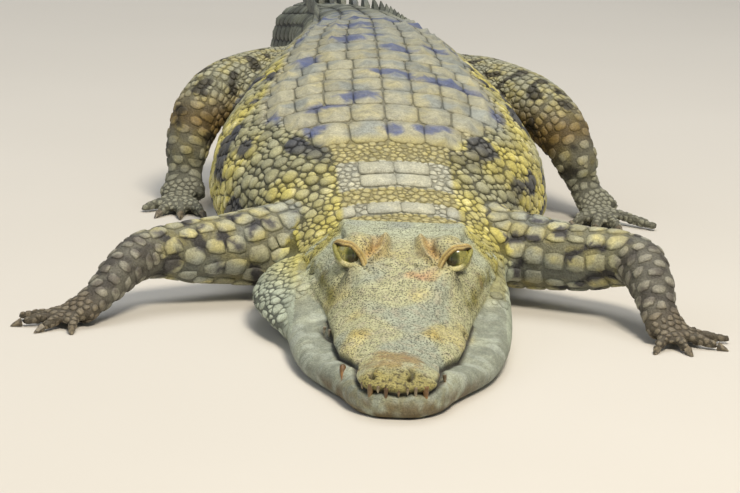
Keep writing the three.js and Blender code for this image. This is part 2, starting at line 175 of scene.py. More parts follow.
def pulled(items, name, width, kind=float):
    """One value of all a mesh's points, edges or faces, as rows of an array."""
    values = np.empty(len(items) * width, kind)
    items.foreach_get(name, values)
    return values.reshape(-1, width)


def joined_nodes(names):
    """Points in mm and triangles of some CAD nodes together."""
    points, triangles, count = [], [], 0
    for name in names:
        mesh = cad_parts[name].data
        mesh.calc_loop_triangles()
        points.append(pulled(mesh.vertices, "co", 3, np.float32) * 1000)
        triangles.append(pulled(mesh.loop_triangles, "vertices", 3, np.int32) + count)
        count += len(mesh.vertices)
    return np.vstack(points), np.vstack(triangles)


def offset_surface(co, faces, cell, by):
    """The surface that lies by mm outside the given one, as points and quads."""
    faces = np.ascontiguousarray(faces, np.uint32)
    kind = {"triangles": faces} if faces.shape[1] == 3 else {"quads": faces}
    lattice = openvdb.createLinearTransform(voxelSize=cell)
    field = openvdb.FloatGrid.createLevelSetFromPolygons(
        np.ascontiguousarray(co, np.float32), transform=lattice, halfWidth=abs(by) / cell + 2, **kind
    )
    return field.convertToQuads(isovalue=by)


def outward(co, faces):
    """The faces, all turned about if they look inwards."""
    corners = [co[faces[:, k]].astype(float) for k in range(faces.shape[1])]
    fans = [np.cross(one, other) for one, other in zip(corners[1:], corners[2:])]
    return faces if sum((corners[0] * fan).sum() for fan in fans) > 0 else faces[:, ::-1]


CLOSE, OPEN = 3.0, 3.2
CELL, HAND_CELL = 3.0, 3.4
co, quads = joined_nodes(sorted(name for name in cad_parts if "claw" not in name))
for by in (CLOSE, -CLOSE - OPEN, OPEN):
    co, quads = offset_surface(co, quads, CELL, by)
# the thin fingers and toes are joined on afterwards
hand_co, hand_tri = joined_nodes(sorted(name for name in flesh if name.startswith(("hand", "foot"))))
shell_tri = outward(co, np.vstack([quads[:, [0, 1, 2]], quads[:, [0, 2, 3]]]))
all_tri = np.vstack([shell_tri, outward(hand_co, hand_tri) + len(co)])
co, quads = offset_surface(np.vstack([co, hand_co]), all_tri, HAND_CELL, 0.0)
co = co.astype(float)
quads = outward(co, quads)


def neighbour_mean(values, edges, size):
    total = np.zeros_like(values)
    for k in range(values.shape[1]):
        total[:, k] = np.bincount(edges[:, 0], values[edges[:, 1], k], size) + np.bincount(
            edges[:, 1], values[edges[:, 0], k], size
        )
    degree = np.bincount(edges.ravel(), minlength=size)
    return total / np.maximum(degree, 1)[:, None]


# The head is meshed finer than the body, and finest round the eyes.
skin_mesh = bpy.data.meshes.new("hide")
skin_mesh.from_pydata((co / 1000).tolist(), [], quads.tolist())
shape = bmesh.new()
shape.from_mesh(skin_mesh)
EYE_AT = np.array([46.0, 238.0, 84.5])
HEAD_END, HEAD_HALF = 372, 105


def fine(place):
    """Round the eyes, and round the nose and front teeth."""
    eye = min((Vector((side * EYE_AT[0], EYE_AT[1], EYE_AT[2])) - place).length for side in (-1, 1))
    return eye < 30 or (place.y < 66 and place.z > 9 and abs(place.x) < 50)


for level in range(2):
    chosen = set()
    for face in shape.faces:
        place = face.calc_center_median() * 1000 - Vector(SNOUT)
        if place.y < HEAD_END and abs(place.x) < HEAD_HALF and (level == 0 or fine(place)):
            chosen.update(face.edges)
    bmesh.ops.subdivide_edges(shape, edges=list(chosen), cuts=1, use_grid_fill=True)
bmesh.ops.triangulate(shape, faces=[face for face in shape.faces if len(face.verts) > 4])
shape.to_mesh(skin_mesh)
shape.free()


def read_points(mesh):
    return pulled(mesh.vertices, "co", 3) * 1000


def write_points(mesh, values):
    mesh.vertices.foreach_set("co", (values / 1000).ravel())
    mesh.update()


# smoothed without shrinking: each step in is followed by one out
SMOOTHING = (0.5, -0.48) * 7
edges = pulled(skin_mesh.edges, "vertices", 2, int)
co = read_points(skin_mesh)
for amount in SMOOTHING:
    co = co + (neighbour_mean(co, edges, len(co)) - co) * amount
write_points(skin_mesh, co)

# The scales' depth is taken off everywhere but on the bare head, and the brows, lips and nose are modelled.
SCALE_DEPTH = 2.2
normals = pulled(skin_mesh.vertex_normals, "vector", 3)
head = co - SNOUT
side_x = np.abs(head[:, 0])
t, x = along_line(co)
owner, share = limb_of(co, t, x)
bare = (1 - ease(t, 335, 375)) * (owner < 0) * (1 - ease(side_x, 92, 104))
sunk = SCALE_DEPTH * (1 - bare) * (1 - 0.6 * (share > 0.78))
sunk = np.where(co[:, 2] < 3, 0.0, sunk)
co = co - normals * sunk[:, None]


def from_path(place, path):
    """Distance of each place to a line of points."""
    path = np.array(path, float)
    best = np.linalg.norm(place - path[0], axis=1)
    for start, end in zip(path[:-1], path[1:]):
        best = np.minimum(best, to_piece(place, start, end)[0])
    return best


def by_path(place, path, radius):
    """1 on a line of points, falling off over that radius."""
    return np.exp(-((from_path(place, path) / radius) ** 2))


mirrored = np.stack([side_x, head[:, 1], head[:, 2]], 1)
MOUTH = [
    (0, 0, 20), (7, 0, 21), (13, 1, 22.5), (20, 4, 21.5), (26, 10, 20), (31, 18, 22),
    (34.5, 32, 24), (34, 46, 25), (34, 60, 26.5), (39.5, 78, 25), (49, 105, 22.5), (52, 130, 23.5),
    (55, 150, 25.5), (58, 170, 27), (61, 200, 30), (65, 222, 33), (71, 250, 38), (78, 275, 44),
    (84, 300, 51), (90, 330, 58),
]
start_tree = BVHTree.FromPolygons([Vector(p) for p in head], [list(p.vertices) for p in skin_mesh.polygons])
knots = len(MOUTH) - 1
MOUTH_POINTS, GUMS_END, PAINT_END = 77, 50, 58
fine_mouth = at_place(np.linspace(0, knots, MOUTH_POINTS), range(knots + 1), np.array(MOUTH, float))
MOUTH = np.array([start_tree.find_nearest(Vector(p))[0] for p in fine_mouth])
EAR = [(51, 268, 86), (53, 300, 85), (55, 340, 86)]
UNDER_LID = [(50, 236, 72.5), (45, 223, 72.5), (38, 217, 73), (31.5, 214.5, 73)]
BROW_FOLD = [(9, 285, 91), (8.5, 262, 87), (13, 243, 82)]
BROW_RIDGE = [(15, 284, 91), (15.5, 266, 88), (19.5, 249, 84), (27, 230, 79)]
LID_FOLD = [(23.5, 280, 92), (24, 262, 90), (29, 243, 85.5)]
# (path, radius, rise) in mm on the left side; the right side mirrors it
MODELLED = [
    (MOUTH[:GUMS_END], 2.2, -4.4),
    (MOUTH[GUMS_END:], 2.2, -1.4),
    (MOUTH + [0, 0, 5], 3.4, 1.6),
    ([(50, 128, 33), (54, 165, 34), (61, 200, 38)], 10, 3.4),
    (BROW_RIDGE, 3.4, 5.4),
    (BROW_FOLD, 3.2, -2.6),
    (LID_FOLD, 3.0, -3.4),
    ([(30, 278, 94), (30, 258, 93), (34, 240, 88)], 4.0, 2.6),
    (UNDER_LID, 2.4, -2.4),
    ([(0, 300, 92), (0, 250, 84), (0, 225, 76)], 9, -2.0),
    ([(30, 202, 68), (34, 170, 60), (32, 140, 52)], 8, 2.4),
    ([(33, 216, 73), (38, 212, 70), (46, 215, 69)], 6, -2.4),
    (EAR, 2.2, -4.0),
    ([(46, 262, 92), (50, 300, 92), (54, 345, 92)], 5, 2.4),
    ([(60, 232, 62), (74, 262, 60), (84, 300, 64)], 11, 2.6),
    ([(72, 258, 52), (84, 318, 56)], 5, -2.0),
    ([(86, 350, 54), (78, 285, 46)], 5, -2.5),
    ([(40, 90, 31), (46, 115, 31), (50, 140, 33)], 7, 2.0),
]
# the same, told for one side only: the snout is not quite even
NOSTRILS = [[(-20.5, 12, 31), (-22.5, 16, 33.5), (-20, 21, 37)], [(8.5, 8, 31), (11.5, 10.5, 33.5), (11, 16, 37)]]
PITS = [[(-67, 192, 30), (-63, 176, 27.5), (-57, 158, 27)], [(54, 168, 30), (52.5, 158, 28.5)]]
NOTCH = [(30, 22, 27), (35, 34, 26.5), (38, 46, 26)]
ONE_SIDED = [
    *[(path, 1.9, -5.0) for path in NOSTRILS],
    *[(path, 5.2, 1.6) for path in NOSTRILS],
    *[(path, 3.4, -5.5) for path in PITS],
    ([(-60, 182, 36), (-52, 160, 35)], 6, 2.4),
    (NOTCH, 2.6, -2.8),
    ([(-5, 30, 42)], 17, 2.2),
    ([(-34, 110, 42), (-36, 124, 44)], 9, 4.2),
    ([(26, 110, 43), (29, 124, 45)], 9, 4.2),
    ([(-84, 322, 58)], 6, -2.5),
]
rise = np.zeros(len(co))
for place, forms in ((mirrored, MODELLED), (head, ONE_SIDED)):
    for path, radius, amount in forms:
        rise += amount * by_path(place, path, radius)
rise *= t < HEAD_END
# how deep each place lies in the mouth's line, a pit, a nostril or a fold, for the paint: painted shade in these
# hollows
SHADED_HOLLOWS = [(mirrored, MOUTH[:PAINT_END], 2.3), (mirrored, EAR, 1.8), (mirrored, UNDER_LID, 1.9), (head, NOTCH, 2.4)]
SHADED_HOLLOWS += [(head, path, 1.9) for path in NOSTRILS] + [(head, path, 3.2) for path in PITS]
hollow_shade = np.zeros(len(co))
for place, path, radius in SHADED_HOLLOWS:
    hollow_shade = np.maximum(hollow_shade, by_path(place, path, radius))
co = co + normals * rise[:, None]

# Round each eye the skin is a mound, open where the lids part.
EYE_RADIUS = 12.6
LID_THICK, SOCKET, AROUND = 0.9, 4, 9
# the parting of the lids, in mm from the eye's middle: outwards, backwards, up
PARTING = [
    (-13.2, -16.6, -8.7), (-9.3, -12.2, -0.8), (-5.0, -11.1, 4.5), (-0.7, -10.2, 7.8),
    (5.6, -8.4, 8.4), (11.2, -4.6, 8.4), (11.4, -5.6, 5.2), (9.0, -8.6, 0.8), (5.2, -10.6, -4.8),
    (0.4, -12.2, -7.2), (-4.8, -13.6, -7.4), (-9.9, -15.8, -8.6),
]


def closed_curve(knots, count):
    knots = np.array(knots, float)
    size = len(knots)
    place = np.arange(count) * size / count
    i = place.astype(int)
    u = (place - i)[:, None]
    a, b, c, d = knots[(i - 1) % size], knots[i], knots[(i + 1) % size], knots[(i + 2) % size]
    return 0.5 * (2 * b + (c - a) * u + (2 * a - 5 * b + 4 * c - d) * u**2 + (3 * b - a - 3 * c + d) * u**3)


LID_POINTS = 96
parting = closed_curve(PARTING, LID_POINTS)
parting_dir = parting / np.linalg.norm(parting, axis=1)[:, None]
looking = parting_dir.mean(0)
looking /= np.linalg.norm(looking)
look_side = np.cross([0, 0, 1.0], looking)
look_side /= np.linalg.norm(look_side)
look_up = np.cross(looking, look_side)


def on_lids(direction):
    """Angle round the parting, and how far out a direction lies, 1 at the parting itself."""
    flat = np.stack([direction @ look_side, direction @ look_up], 1)
    around = np.arctan2(flat[:, 1], flat[:, 0])
    out = np.arctan2(np.linalg.norm(flat, axis=1), direction @ looking)
    return around, out


edge_around, edge_out = on_lids(parting_dir)
order = np.argsort(edge_around)
edge_around, edge_out = edge_around[order], edge_out[order]
edge_radius = np.linalg.norm(parting, axis=1)[order]


def parted(direction):
    around, out = on_lids(direction)
    return out / np.interp(around, edge_around, edge_out, period=2 * math.pi)


for side in (-1, 1):
    centre = np.array([side * EYE_AT[0], EYE_AT[1], EYE_AT[2]])
    off = co - SNOUT - centre
    far = np.linalg.norm(off, axis=1)
    near = far < 40
    direction = off[near] * [side, 1, 1] / far[near, None]
    openness = parted(direction)
    radius = far[near]
    mound = np.maximum(radius, EYE_RADIUS + LID_THICK)
    sink = 1 - ease(openness, 0.92, 1.12)
    wanted = mound * (1 - sink) + np.minimum(radius, EYE_RADIUS - SOCKET) * sink
    wanted = np.where(radius > EYE_RADIUS + AROUND, radius, wanted)
    # the skin stays under the lids as far as their inner corner
    cap = np.interp(on_lids(direction)[0], edge_around, edge_radius, period=2 * math.pi) - 0.4
    cap += 14 * ease(openness, 1.2, 1.9) + 12 * ease(direction[:, 2], -0.35, 0.0)
    wanted = np.where(openness < 1.9, np.minimum(wanted, cap), wanted)
    co[near] = SNOUT + centre + off[near] * (wanted / radius)[:, None]

co[:, 2] = np.maximum(co[:, 2], 0.0)
write_points(skin_mesh, co)


def in_scene(name, data, smooth=False):
    """A new object in the scene, of that mesh, light or camera."""
    if smooth:
        data.polygons.foreach_set("use_smooth", [True] * len(data.polygons))
    made = bpy.data.objects.new(name, data)
    bpy.context.scene.collection.objects.link(made)
    return made


skin = in_scene("hide", skin_mesh, smooth=True)

# ---------- the markings ----------
# Painted on skin and scales alike: pale grey-green head, yellow flanks, grey back with dark cross
# bands, whitish jaw and throat, olive hind legs with black spots, grey-brown hands and feet.


def linear(code):
    """A colour as sRGB hex, turned linear."""
    value = np.array([int(code[i : i + 2], 16) / 255 for i in (1, 3, 5)])
    return np.where(value <= 0.04045, value / 12.92, ((value + 0.055) / 1.055) ** 2.4)


def cloud(points, size, seed):
    """Smooth noise from 0 to 1 over points in mm, with patches of about that size."""
    shift = np.array([seed * 17.3, seed * 5.1, seed * 11.7], np.float32)
    spots = points.astype(np.float32) * (np.float32(1) / np.float32(size)) + shift
    return np.clip(0.5 + 0.75 * np.array([noise.noise(spot) for spot in spots.tolist()]), 0, 1)


def mixed(colour, *layers):
    """Colours (or one hex code for all) with layers over them, each a hex code and its amount."""
    for code, amount in layers:
        amount = np.clip(amount, 0, 1)[:, None]
        if isinstance(colour, str):
            colour = np.tile(linear(colour), (len(amount), 1))
        colour = colour * (1 - amount) + linear(code) * amount
    return colour


# half width of the plated back along the body, and its blue-grey patches (t, x, half length, half width)
CARAPACE_T = [500, 514, 560, 620, 700, 830, 930, 1050, 1220, 1300]
CARAPACE_HALF = [52, 58, 86, 116, 116, 96, 90, 72, 60, 50]
BLUE = [
    (705, 66, 17, 34), (724, 8, 14, 26), (806, -72, 26, 12), (630, -26, 18, 20), (540, 6, 14, 9),
    (545, 44, 10, 20), (548, -70, 12, 15), (596, -112, 20, 14), (650, 118, 18, 14),
    (850, 20, 16, 18), (900, -28, 18, 18), (880, 62, 14, 14), (600, -60, 8, 22),
    (1000, -20, 20, 22), (1090, 34, 18, 14),
]


TAIL_BAND = 150  # one dark band and one pale, along the tail
# lines of colour on the head's left side, mirrored on its right
BROW = [(22, 276, 91), (23, 256, 87), (30, 236, 82)]
JAW_CORNER = [(60, 216, 48), (68, 256, 57), (84, 320, 58)]
PALE_LID = [(47, 228, 80), (40, 223, 78.5), (31.5, 221, 77)]
# small marks on the head: place from the snout tip, colour, size in mm. The dark brown ones in the notch of the upper
# lip on the left and in the dent at the right corner of the mouth are painted shade in those hollows
HEAD_SPOTS = [
    (8, 211, 74, "#c09a6c", 7), (17, 208, 72, "#c7956a", 7), (25, 206, 71, "#b99866", 5),
    (-34, 110, 43, "#aa9440", 13), (26, 110, 44, "#aa9440", 13), (-84, 322, 58, "#54401f", 8),
    (-68, 257, 57, "#77692c", 9), (-60, 224, 49, "#80702c", 9),
    (68, 260, 58, "#7f6428", 9), (63, 234, 49, "#8a8138", 9),
    (-14, 52, 41, "#9c7446", 7), (6, 44, 41, "#9a764c", 6), (-46, 50, 20, "#7d5228", 5), (35, 36, 26, "#5a3522", 7),
    (0, 322, 93, "#959b92", 18), (-40, 320, 93, "#a4aa9e", 14), (40, 322, 93, "#a4aa9e", 12),
]


def markings(points):
    """Linear colour and amount of dark speckle at points in mm."""
    t, x = along_line(points)
    z = points[:, 2]
    head = points - SNOUT
    hx, hy = np.abs(head[:, 0]), head[:, 1]
    owner, share = limb_of(points, t, x)
    body = owner < 0
    top = np.interp(t, body_t, body_top)
    half = np.interp(t, body_t, body_half)
    big, middle, small = cloud(points, 90, 1), cloud(points, 32, 2), cloud(points, 12, 3)
    fleck, grain = cloud(points, 5, 31), cloud(points, 24, 6)
    # trunk and tail
    side = ease(np.abs(x) / np.interp(t, CARAPACE_T, CARAPACE_HALF), 0.98, 1.08)
    side = np.where((t < 500) & (np.abs(x) < 37) & (t > 396), 0.0, side)
    patch = ease(cloud(points * [0.45, 1, 1], 26, 4), 0.68, 0.76) * (t > 900)
    for spot_t, spot_x, spot_long, spot_wide in BLUE:
        reach = np.hypot((t - spot_t) / spot_long, (x - spot_x) / spot_wide) + 0.7 * (small - 0.5) + 0.5 * (fleck - 0.5)
        patch = np.maximum(patch, 1 - ease(reach, 0.8, 1.15))
    nape = (1 - ease(np.abs(x), 52, 70)) * (1 - ease(t, 515, 530))
    plate = ((t > 437) & (t < 481)) | ((t > 391) & (t < 413))
    colour = mixed(
        "#a9a68c",
        ("#90948b", ease(middle, 0.4, 0.75)),
        ("#b3ab80", ease(grain, 0.5, 0.8) * 0.7),
        ("#7e8078", ease(fleck, 0.55, 0.8) * 0.45),
        ("#8a8f8c", ease(t, 760, 1050) * 0.5),
        ("#515c82", patch * (0.7 + 0.3 * fleck) * (1 - side)),
        ("#aca268", nape * ~plate * (0.55 + 0.45 * fleck)),
        ("#b7b7a4", nape * plate * 0.7),
    )
    blotch = cloud(points * [1, 0.6, 1], 30, 12) + 0.05 * ease(-x, 20, 110) + 0.03 * ease(x, 20, 110)
    blotch = blotch + 0.12 * (fleck - 0.5)
    flank = mixed(
        "#c2b866",
        ("#d8d092", ease(cloud(points, 15, 7), 0.55, 0.8)),
        ("#a39c62", ease(middle, 0.5, 0.7) * 0.7),
        ("#858a80", ease(big + 0.1 * ease(-x, 0, 100), 0.5, 0.75) * 0.65),
        ("#343848", ease(blotch, 0.61, 0.7) * ease(t, 450, 540) * 0.9),
        ("#908f7c", ease(t, 820, 1100) * 0.8),
    )
    colour = colour * (1 - side[:, None]) + flank * side[:, None]
    low, tail = 1 - ease(z / top, 0.1, 0.32), ease(t, 1150, 1300)
    colour = mixed(
        colour,
        ("#bcbca4", low * (t < 1250) * 0.7),
        ("#5b5f50", tail * 0.85 * ease(np.abs(x) / half, 0.35, 0.75)),
        ("#6f7363", tail * 0.6),
        ("#2f322b", tail * ease(np.sin(t * 2 * math.pi / TAIL_BAND + 4 * big), 0.1, 0.6) * 0.6),
    )
    speckle = np.full(len(points), 0.25)
    # limbs
    limb = mixed(
        "#a4a284",
        ("#b5ae7c", ease(small, 0.45, 0.7)),
        ("#949a94", ease(middle, 0.5, 0.75) * 0.7),
        ("#35333c", ease(cloud(points, 15, 8) + 0.12 * (fleck - 0.5), 0.64, 0.74) * 0.9),
        ("#8b8879", ease(share, 0.38, 0.5)),
        ("#514a44", ease(share, 0.38, 0.5) * ease(cloud(points * [1, 1, 2], 14, 13), 0.5, 0.7) * 0.7),
        ("#6f6450", ease(share, 0.68, 0.8) * 0.8),
    )
    hind = mixed(
        "#9b9a80",
        ("#a79f68", ease(small, 0.4, 0.7) * 0.7),
        ("#8b8e80", ease(middle, 0.5, 0.75) * 0.6),
        ("#7f6634", ease(140 - z, 10, 55) * (1 - ease(share, 0.5, 0.6)) * 0.9),
        ("#332e22", ease(cloud(points, 17, 9), 0.64, 0.72) * 0.9),
        ("#8a8a78", ease(share, 0.6, 0.72)),
    )
    colour = np.where(((owner == 0) | (owner == 1))[:, None], limb, colour)
    colour = np.where((owner >= 2)[:, None], hind, colour)
    # head
    wisp, dapple = cloud(points, 45, 5), cloud(points, 7, 33)
    skull = mixed(
        "#b1b18a",
        ("#beb47c", ease(middle, 0.5, 0.8) * 0.75),
        ("#9ca494", ease(wisp, 0.5, 0.75) * 0.8),
        ("#a9a28a", ease(dapple, 0.5, 0.8) * 0.5),
        ("#b3b89c", ease(hy, 255, 300)),
    )
    jaw = mixed(
        "#8b9080",
        ("#a4a995", ease(middle, 0.45, 0.75)),
        ("#747d72", ease(cloud(points * [1, 1, 0.14], 5.5, 14), 0.5, 0.8) * 0.3 * ease(hy, 20, 90)),
        ("#b9c0b4", ease(cloud(points * [1, 1, 0.25], 14, 15), 0.5, 0.8) * 0.4),
        ("#969058", ease(hy, 225, 300) * ease(big, 0.35, 0.6) * 0.7),
        ("#8f8d6c", (1 - ease(hy, 30, 80)) * ease(dapple, 0.4, 0.7) * 0.6),
    )
    mouth_z = np.interp(hy, np.maximum.accumulate(MOUTH[:, 1]), MOUTH[:, 2])
    below = ease(mouth_z - z, -1.0, 1.0)
    skull = skull * (1 - below[:, None]) + jaw * below[:, None]
    chin = (1 - ease(z, 8, 19)) * (1 - ease(hy, 60, 130)) * below
    rough = 0.6 * (small - 0.5) + 0.5 * (middle - 0.5) + 0.35 * (fleck - 0.5)
    nose = (1 - ease(np.hypot((head[:, 0] + 5) / 25, (hy - 45) / 25) + rough, 0.7, 1.15)) * (z > 29) * (1 - below)
    tip_specks = ease(cloud(points, 2.6, 35), 0.68, 0.78)
    skull = mixed(
        skull,
        ("#64502c", chin * ease(small, 0.15, 0.6) * 0.8),
        ("#8f7748", nose * 0.75),
        ("#94883f", (1 - ease(hy + 8 * rough, 10, 26)) * (1 - below) * 0.8),
        ("#3c3018", (1 - ease(hy, 14, 24)) * (1 - below) * tip_specks * 0.8),
    )
    for spot_x, spot_y, spot_z, spot_code, spot_size in HEAD_SPOTS:
        reach = np.linalg.norm(head - [spot_x, spot_y, spot_z], axis=1) / spot_size + rough
        skull = mixed(skull, (spot_code, (1 - ease(reach, 0.3, 1.2)) * 0.65))
    place = np.stack([hx, hy, head[:, 2]], 1)
    temple = ease(hy, 300, 318) * ease(hx, 50, 60) * (1 - below) * (z > 40)
    skull = mixed(
        skull,
        ("#b58c48", by_path(place, BROW, 8.5) * (0.6 + 0.4 * small)),
        # painted light: the brow ridge's crest is its yellow lightened as a painted highlight, and the brow and lid
        # folds are darkened as painted shade
        ("#d6c06a", by_path(place, BROW_RIDGE, 2.8) * 0.85),
        ("#6e5430", by_path(place, BROW_FOLD, 2.4) * 0.65),
        ("#6e5430", by_path(place, LID_FOLD, 2.4) * 0.65),
        ("#85803a", by_path(place, JAW_CORNER, 8) * 0.75 * ease(small + 0.4 * fleck, 0.4, 0.8)),
        ("#cdc690", by_path(place, PALE_LID, 2.4) * 0.8),
        ("#b8ae58", temple * ease(small, 0.2, 0.5) * 0.9),
    )
    on_head = (1 - ease(t, 345, 375)) * body
    throat_fold = body & (t < 440) & (t > 200) & (np.abs(x) > 92) & (z < 75)
    pale = mixed("#a8b09c", ("#c2b966", ease(z, 36, 60)))
    colour = colour * (1 - on_head[:, None]) + skull * on_head[:, None]
    colour = np.where(throat_fold[:, None], pale, colour)
    speckle = np.where(on_head > 0.5, (1.0 - 0.45 * (1 - ease(hy, 20, 60))) * (1 - 0.8 * below), speckle)
    return colour, speckle


def paint(mesh, colour, speckle):
    """Keeps the markings on a mesh, with any painted shade and highlights mixed in: tint and speckle."""
    layer = mesh.color_attributes.new("tint", "FLOAT_COLOR", "POINT")
    layer.data.foreach_set("color", np.column_stack([colour, speckle]).astype(np.float32).ravel())


co = read_points(skin_mesh)
colour, speckle = markings(co)
# painted shade: the mouth's line, the pits, the nostrils, the ear slits, the groove under each eye and the notch are
# darkened
colour = mixed(colour, ("#20170f", hollow_shade * 0.95))
# painted shade: between the scales the skin is darkened, less so on the back and the legs
skin_t, skin_x = along_line(co)
on_body = limb_of(co, skin_t, skin_x)[0] < 0
coated = 1 - (1 - ease(skin_t, 345, HEAD_END)) * on_body * (1 - ease(np.abs(co[:, 0] - SNOUT[0]), 94, 104))
plated = (np.abs(skin_x) < np.interp(skin_t, CARAPACE_T, CARAPACE_HALF)) & (skin_t > 350) & (skin_t < 1200)
shadow = np.where(~on_body, 0.5, np.where(plated, 0.42, 0.72))
colour = colour * (1 - shadow * coated)[:, None]
paint(skin_mesh, colour, speckle)


def node(tree, kind, settings=None, **inputs):
    """A shader node with its settings, and its inputs set to values or linked from sockets."""
    made = tree.nodes.new(kind)
    for name, value in (settings or {}).items():
        setattr(made, name, value)
    for name, value in inputs.items():
        by_number = name[0] == "_" and name[1:].isdigit()
        socket = made.inputs[int(name[1:]) if by_number else name.replace("_", " ")]
        if isinstance(value, bpy.types.NodeSocket):
            tree.links.new(value, socket)
        else:
            socket.default_value = value
    return made


def new_material(name):
    """A material with its node tree and its shader."""
    material = bpy.data.materials.new(name)
    material.use_nodes = True
    return material, material.node_tree, material.node_tree.nodes["Principled BSDF"]


def times(tree, one, other, share=1.0):
    """One colour multiplied by another."""
    settings = {"data_type": "RGBA", "blend_type": "MULTIPLY"}
    return node(tree, "ShaderNodeMix", settings, _0=share, _6=one, _7=other).outputs[2]


def speckled(tree, place, size, **detail):
    """Noise with patches of about that size in mm."""
    return node(tree, "ShaderNodeTexNoise", Vector=place, Scale=1000 / size, **detail).outputs["Fac"]


def ranged(tree, value, low, high, to_low=0.0, to_high=1.0):
    """A value between two limits, turned into one between two others."""
    limits = {"From_Min": low, "From_Max": high, "To_Min": to_low, "To_Max": to_high}
    return node(tree, "ShaderNodeMapRange", Value=value, **limits).outputs[0]


def hide_material(name, roughness, speckle_mm, crack_mm, crack):
    """Painted rubber hide: markings, fine dark speckle, and a fine wrinkled surface."""
    material, tree, shader = new_material(name)
    tint = node(tree, "ShaderNodeVertexColor", {"layer_name": "tint"})
    place = node(tree, "ShaderNodeTexCoord").outputs["Object"]
    grain = speckled(tree, place, speckle_mm, Detail=2.0, Roughness=0.6)
    cell = node(tree, "ShaderNodeTexVoronoi", Vector=place, Scale=1000 / speckle_mm)
    dots = ranged(tree, cell.outputs["Distance"], 0.5, 0.3)
    dense = ranged(tree, speckled(tree, place, speckle_mm * 9, Detail=1.0), 0.3, 0.6, 0.65, 1.0)
    amount = node(tree, "ShaderNodeMath", {"operation": "MULTIPLY"}, _0=dots, _1=tint.outputs["Alpha"])
    amount = node(tree, "ShaderNodeMath", {"operation": "MULTIPLY"}, _0=amount.outputs[0], _1=dense)
    dark = times(tree, tint.outputs["Color"], (0.22, 0.22, 0.2, 1), amount.outputs[0])
    wide = speckled(tree, place, speckle_mm * 5, Detail=3.0, Roughness=0.6)
    base = times(tree, dark, ranged(tree, wide, 0.3, 0.7, 0.82, 1.18))
    base = times(tree, base, ranged(tree, grain, 0.3, 0.7, 0.8, 1.2))
    cells = node(tree, "ShaderNodeTexVoronoi", {"feature": "DISTANCE_TO_EDGE"}, Vector=place, Scale=1000 / crack_mm)
    edge = ranged(tree, cells.outputs["Distance"], 0.0, 0.16)
    height = node(tree, "ShaderNodeMath", {"operation": "ADD"}, _0=edge, _1=grain)
    bump = node(tree, "ShaderNodeBump", Strength=crack, Distance=0.0006, Height=height.outputs[0])
    tree.links.new(base, shader.inputs["Base Color"])
    tree.links.new(bump.outputs[0], shader.inputs["Normal"])
    shader.inputs["Roughness"].default_value = roughness
    shader.inputs["IOR"].default_value = 1.45
    return material


# matt painted rubber, wrinkled
skin_material = hide_material("painted_rubber_hide", 0.62, 1.9, 3.2, 0.6)
skin_mesh.materials.append(skin_material)
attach(skin, "root")
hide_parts(*flesh)
skin_tree = BVHTree.FromPolygons([Vector(p) for p in co], [list(p.vertices) for p in skin_mesh.polygons])

# ---------- the eyes ----------
# Cast acrylic eyes: yellow-green at the outer side, dark olive iris with an upright slit, high gloss. The iris carries
# painted light: a light olive glint high up, a brown painted reflection of the ground below, and its dark olive is
# partly a painted reflection of dark surroundings.
EYE_RINGS, EYE_SIDES = 72, 96
polar = np.linspace(0, math.pi, EYE_RINGS + 1)
azimuth = np.arange(EYE_SIDES) * 2 * math.pi / EYE_SIDES
ring, turn = np.meshgrid(polar, azimuth, indexing="ij")
gaze = np.array([-0.3, -0.95, 0.03])
gaze /= np.linalg.norm(gaze)
gaze_side = np.cross([0, 0, 1.0], gaze)
gaze_side /= np.linalg.norm(gaze_side)
gaze_up = np.cross(gaze, gaze_side)
ball = (
    np.cos(ring)[..., None] * gaze
    + (np.sin(ring) * np.cos(turn))[..., None] * gaze_side
    + (np.sin(ring) * np.sin(turn))[..., None] * gaze_up
).reshape(-1, 3)


def ring_faces(rows, sides, first=0):
    """Quads that fill the rows between rings of points."""
    faces = []
    for r in range(rows):
        start = first + r * sides
        for s in range(sides):
            n = (s + 1) % sides
            faces.append([start + s, start + n, start + sides + n, start + sides + s])
    return faces


eye_faces = ring_faces(EYE_RINGS, EYE_SIDES)
across, upward, ahead = ball @ gaze_side, ball @ gaze_up, ball @ gaze
iris = np.hypot(across / 0.43, upward / 0.6)
front = ahead > 0
glint = np.hypot((across + 0.1) / 0.2, (upward - 0.28) / 0.22)
slit = np.hypot(across / 0.055, upward / 0.4)
# painted light in the iris: the light olive spot is a painted glint, the brown in its lower half a painted reflection
# of the ground, and the dark olive partly a painted reflection of dark surroundings
eye_colour = mixed(
    "#8a874a",
    ("#a49c50", ease(cloud(ball * 12, 3, 21), 0.5, 0.8)),
    ("#6b6c36", ease(cloud(ball * 12, 1.3, 22), 0.62, 0.75) * 0.8),
    ("#5a5c26", ease(iris, 1.35, 1.02) * front),
    ("#3c4019", (1 - ease(iris, 0.8, 1.05)) * front),
    ("#3b3226", (1 - ease(iris, 0.75, 1.0)) * ease(-upward, 0.0, 0.22) * front * 0.85),
    ("#6d7232", (1 - ease(glint, 0.4, 1)) * front * 0.6),
    ("#0d0d09", (1 - ease(slit, 0.6, 1.1)) * front * 0.85),
)
eye_material, tree, shader = new_material("cast_acrylic_eye")
tint = node(tree, "ShaderNodeVertexColor", {"layer_name": "tint"})
place = node(tree, "ShaderNodeTexCoord").outputs["Object"]
veins = node(tree, "ShaderNodeTexNoise", Vector=place, Scale=900.0, Detail=3.0)
streak = ranged(tree, veins.outputs["Fac"], 0.3, 0.7, 0.75, 1.2)
tree.links.new(times(tree, tint.outputs["Color"], streak), shader.inputs["Base Color"])
shader.inputs["Roughness"].default_value = 0.22
shader.inputs["Coat Weight"].default_value = 0.5
shader.inputs["Coat Roughness"].default_value = 0.06


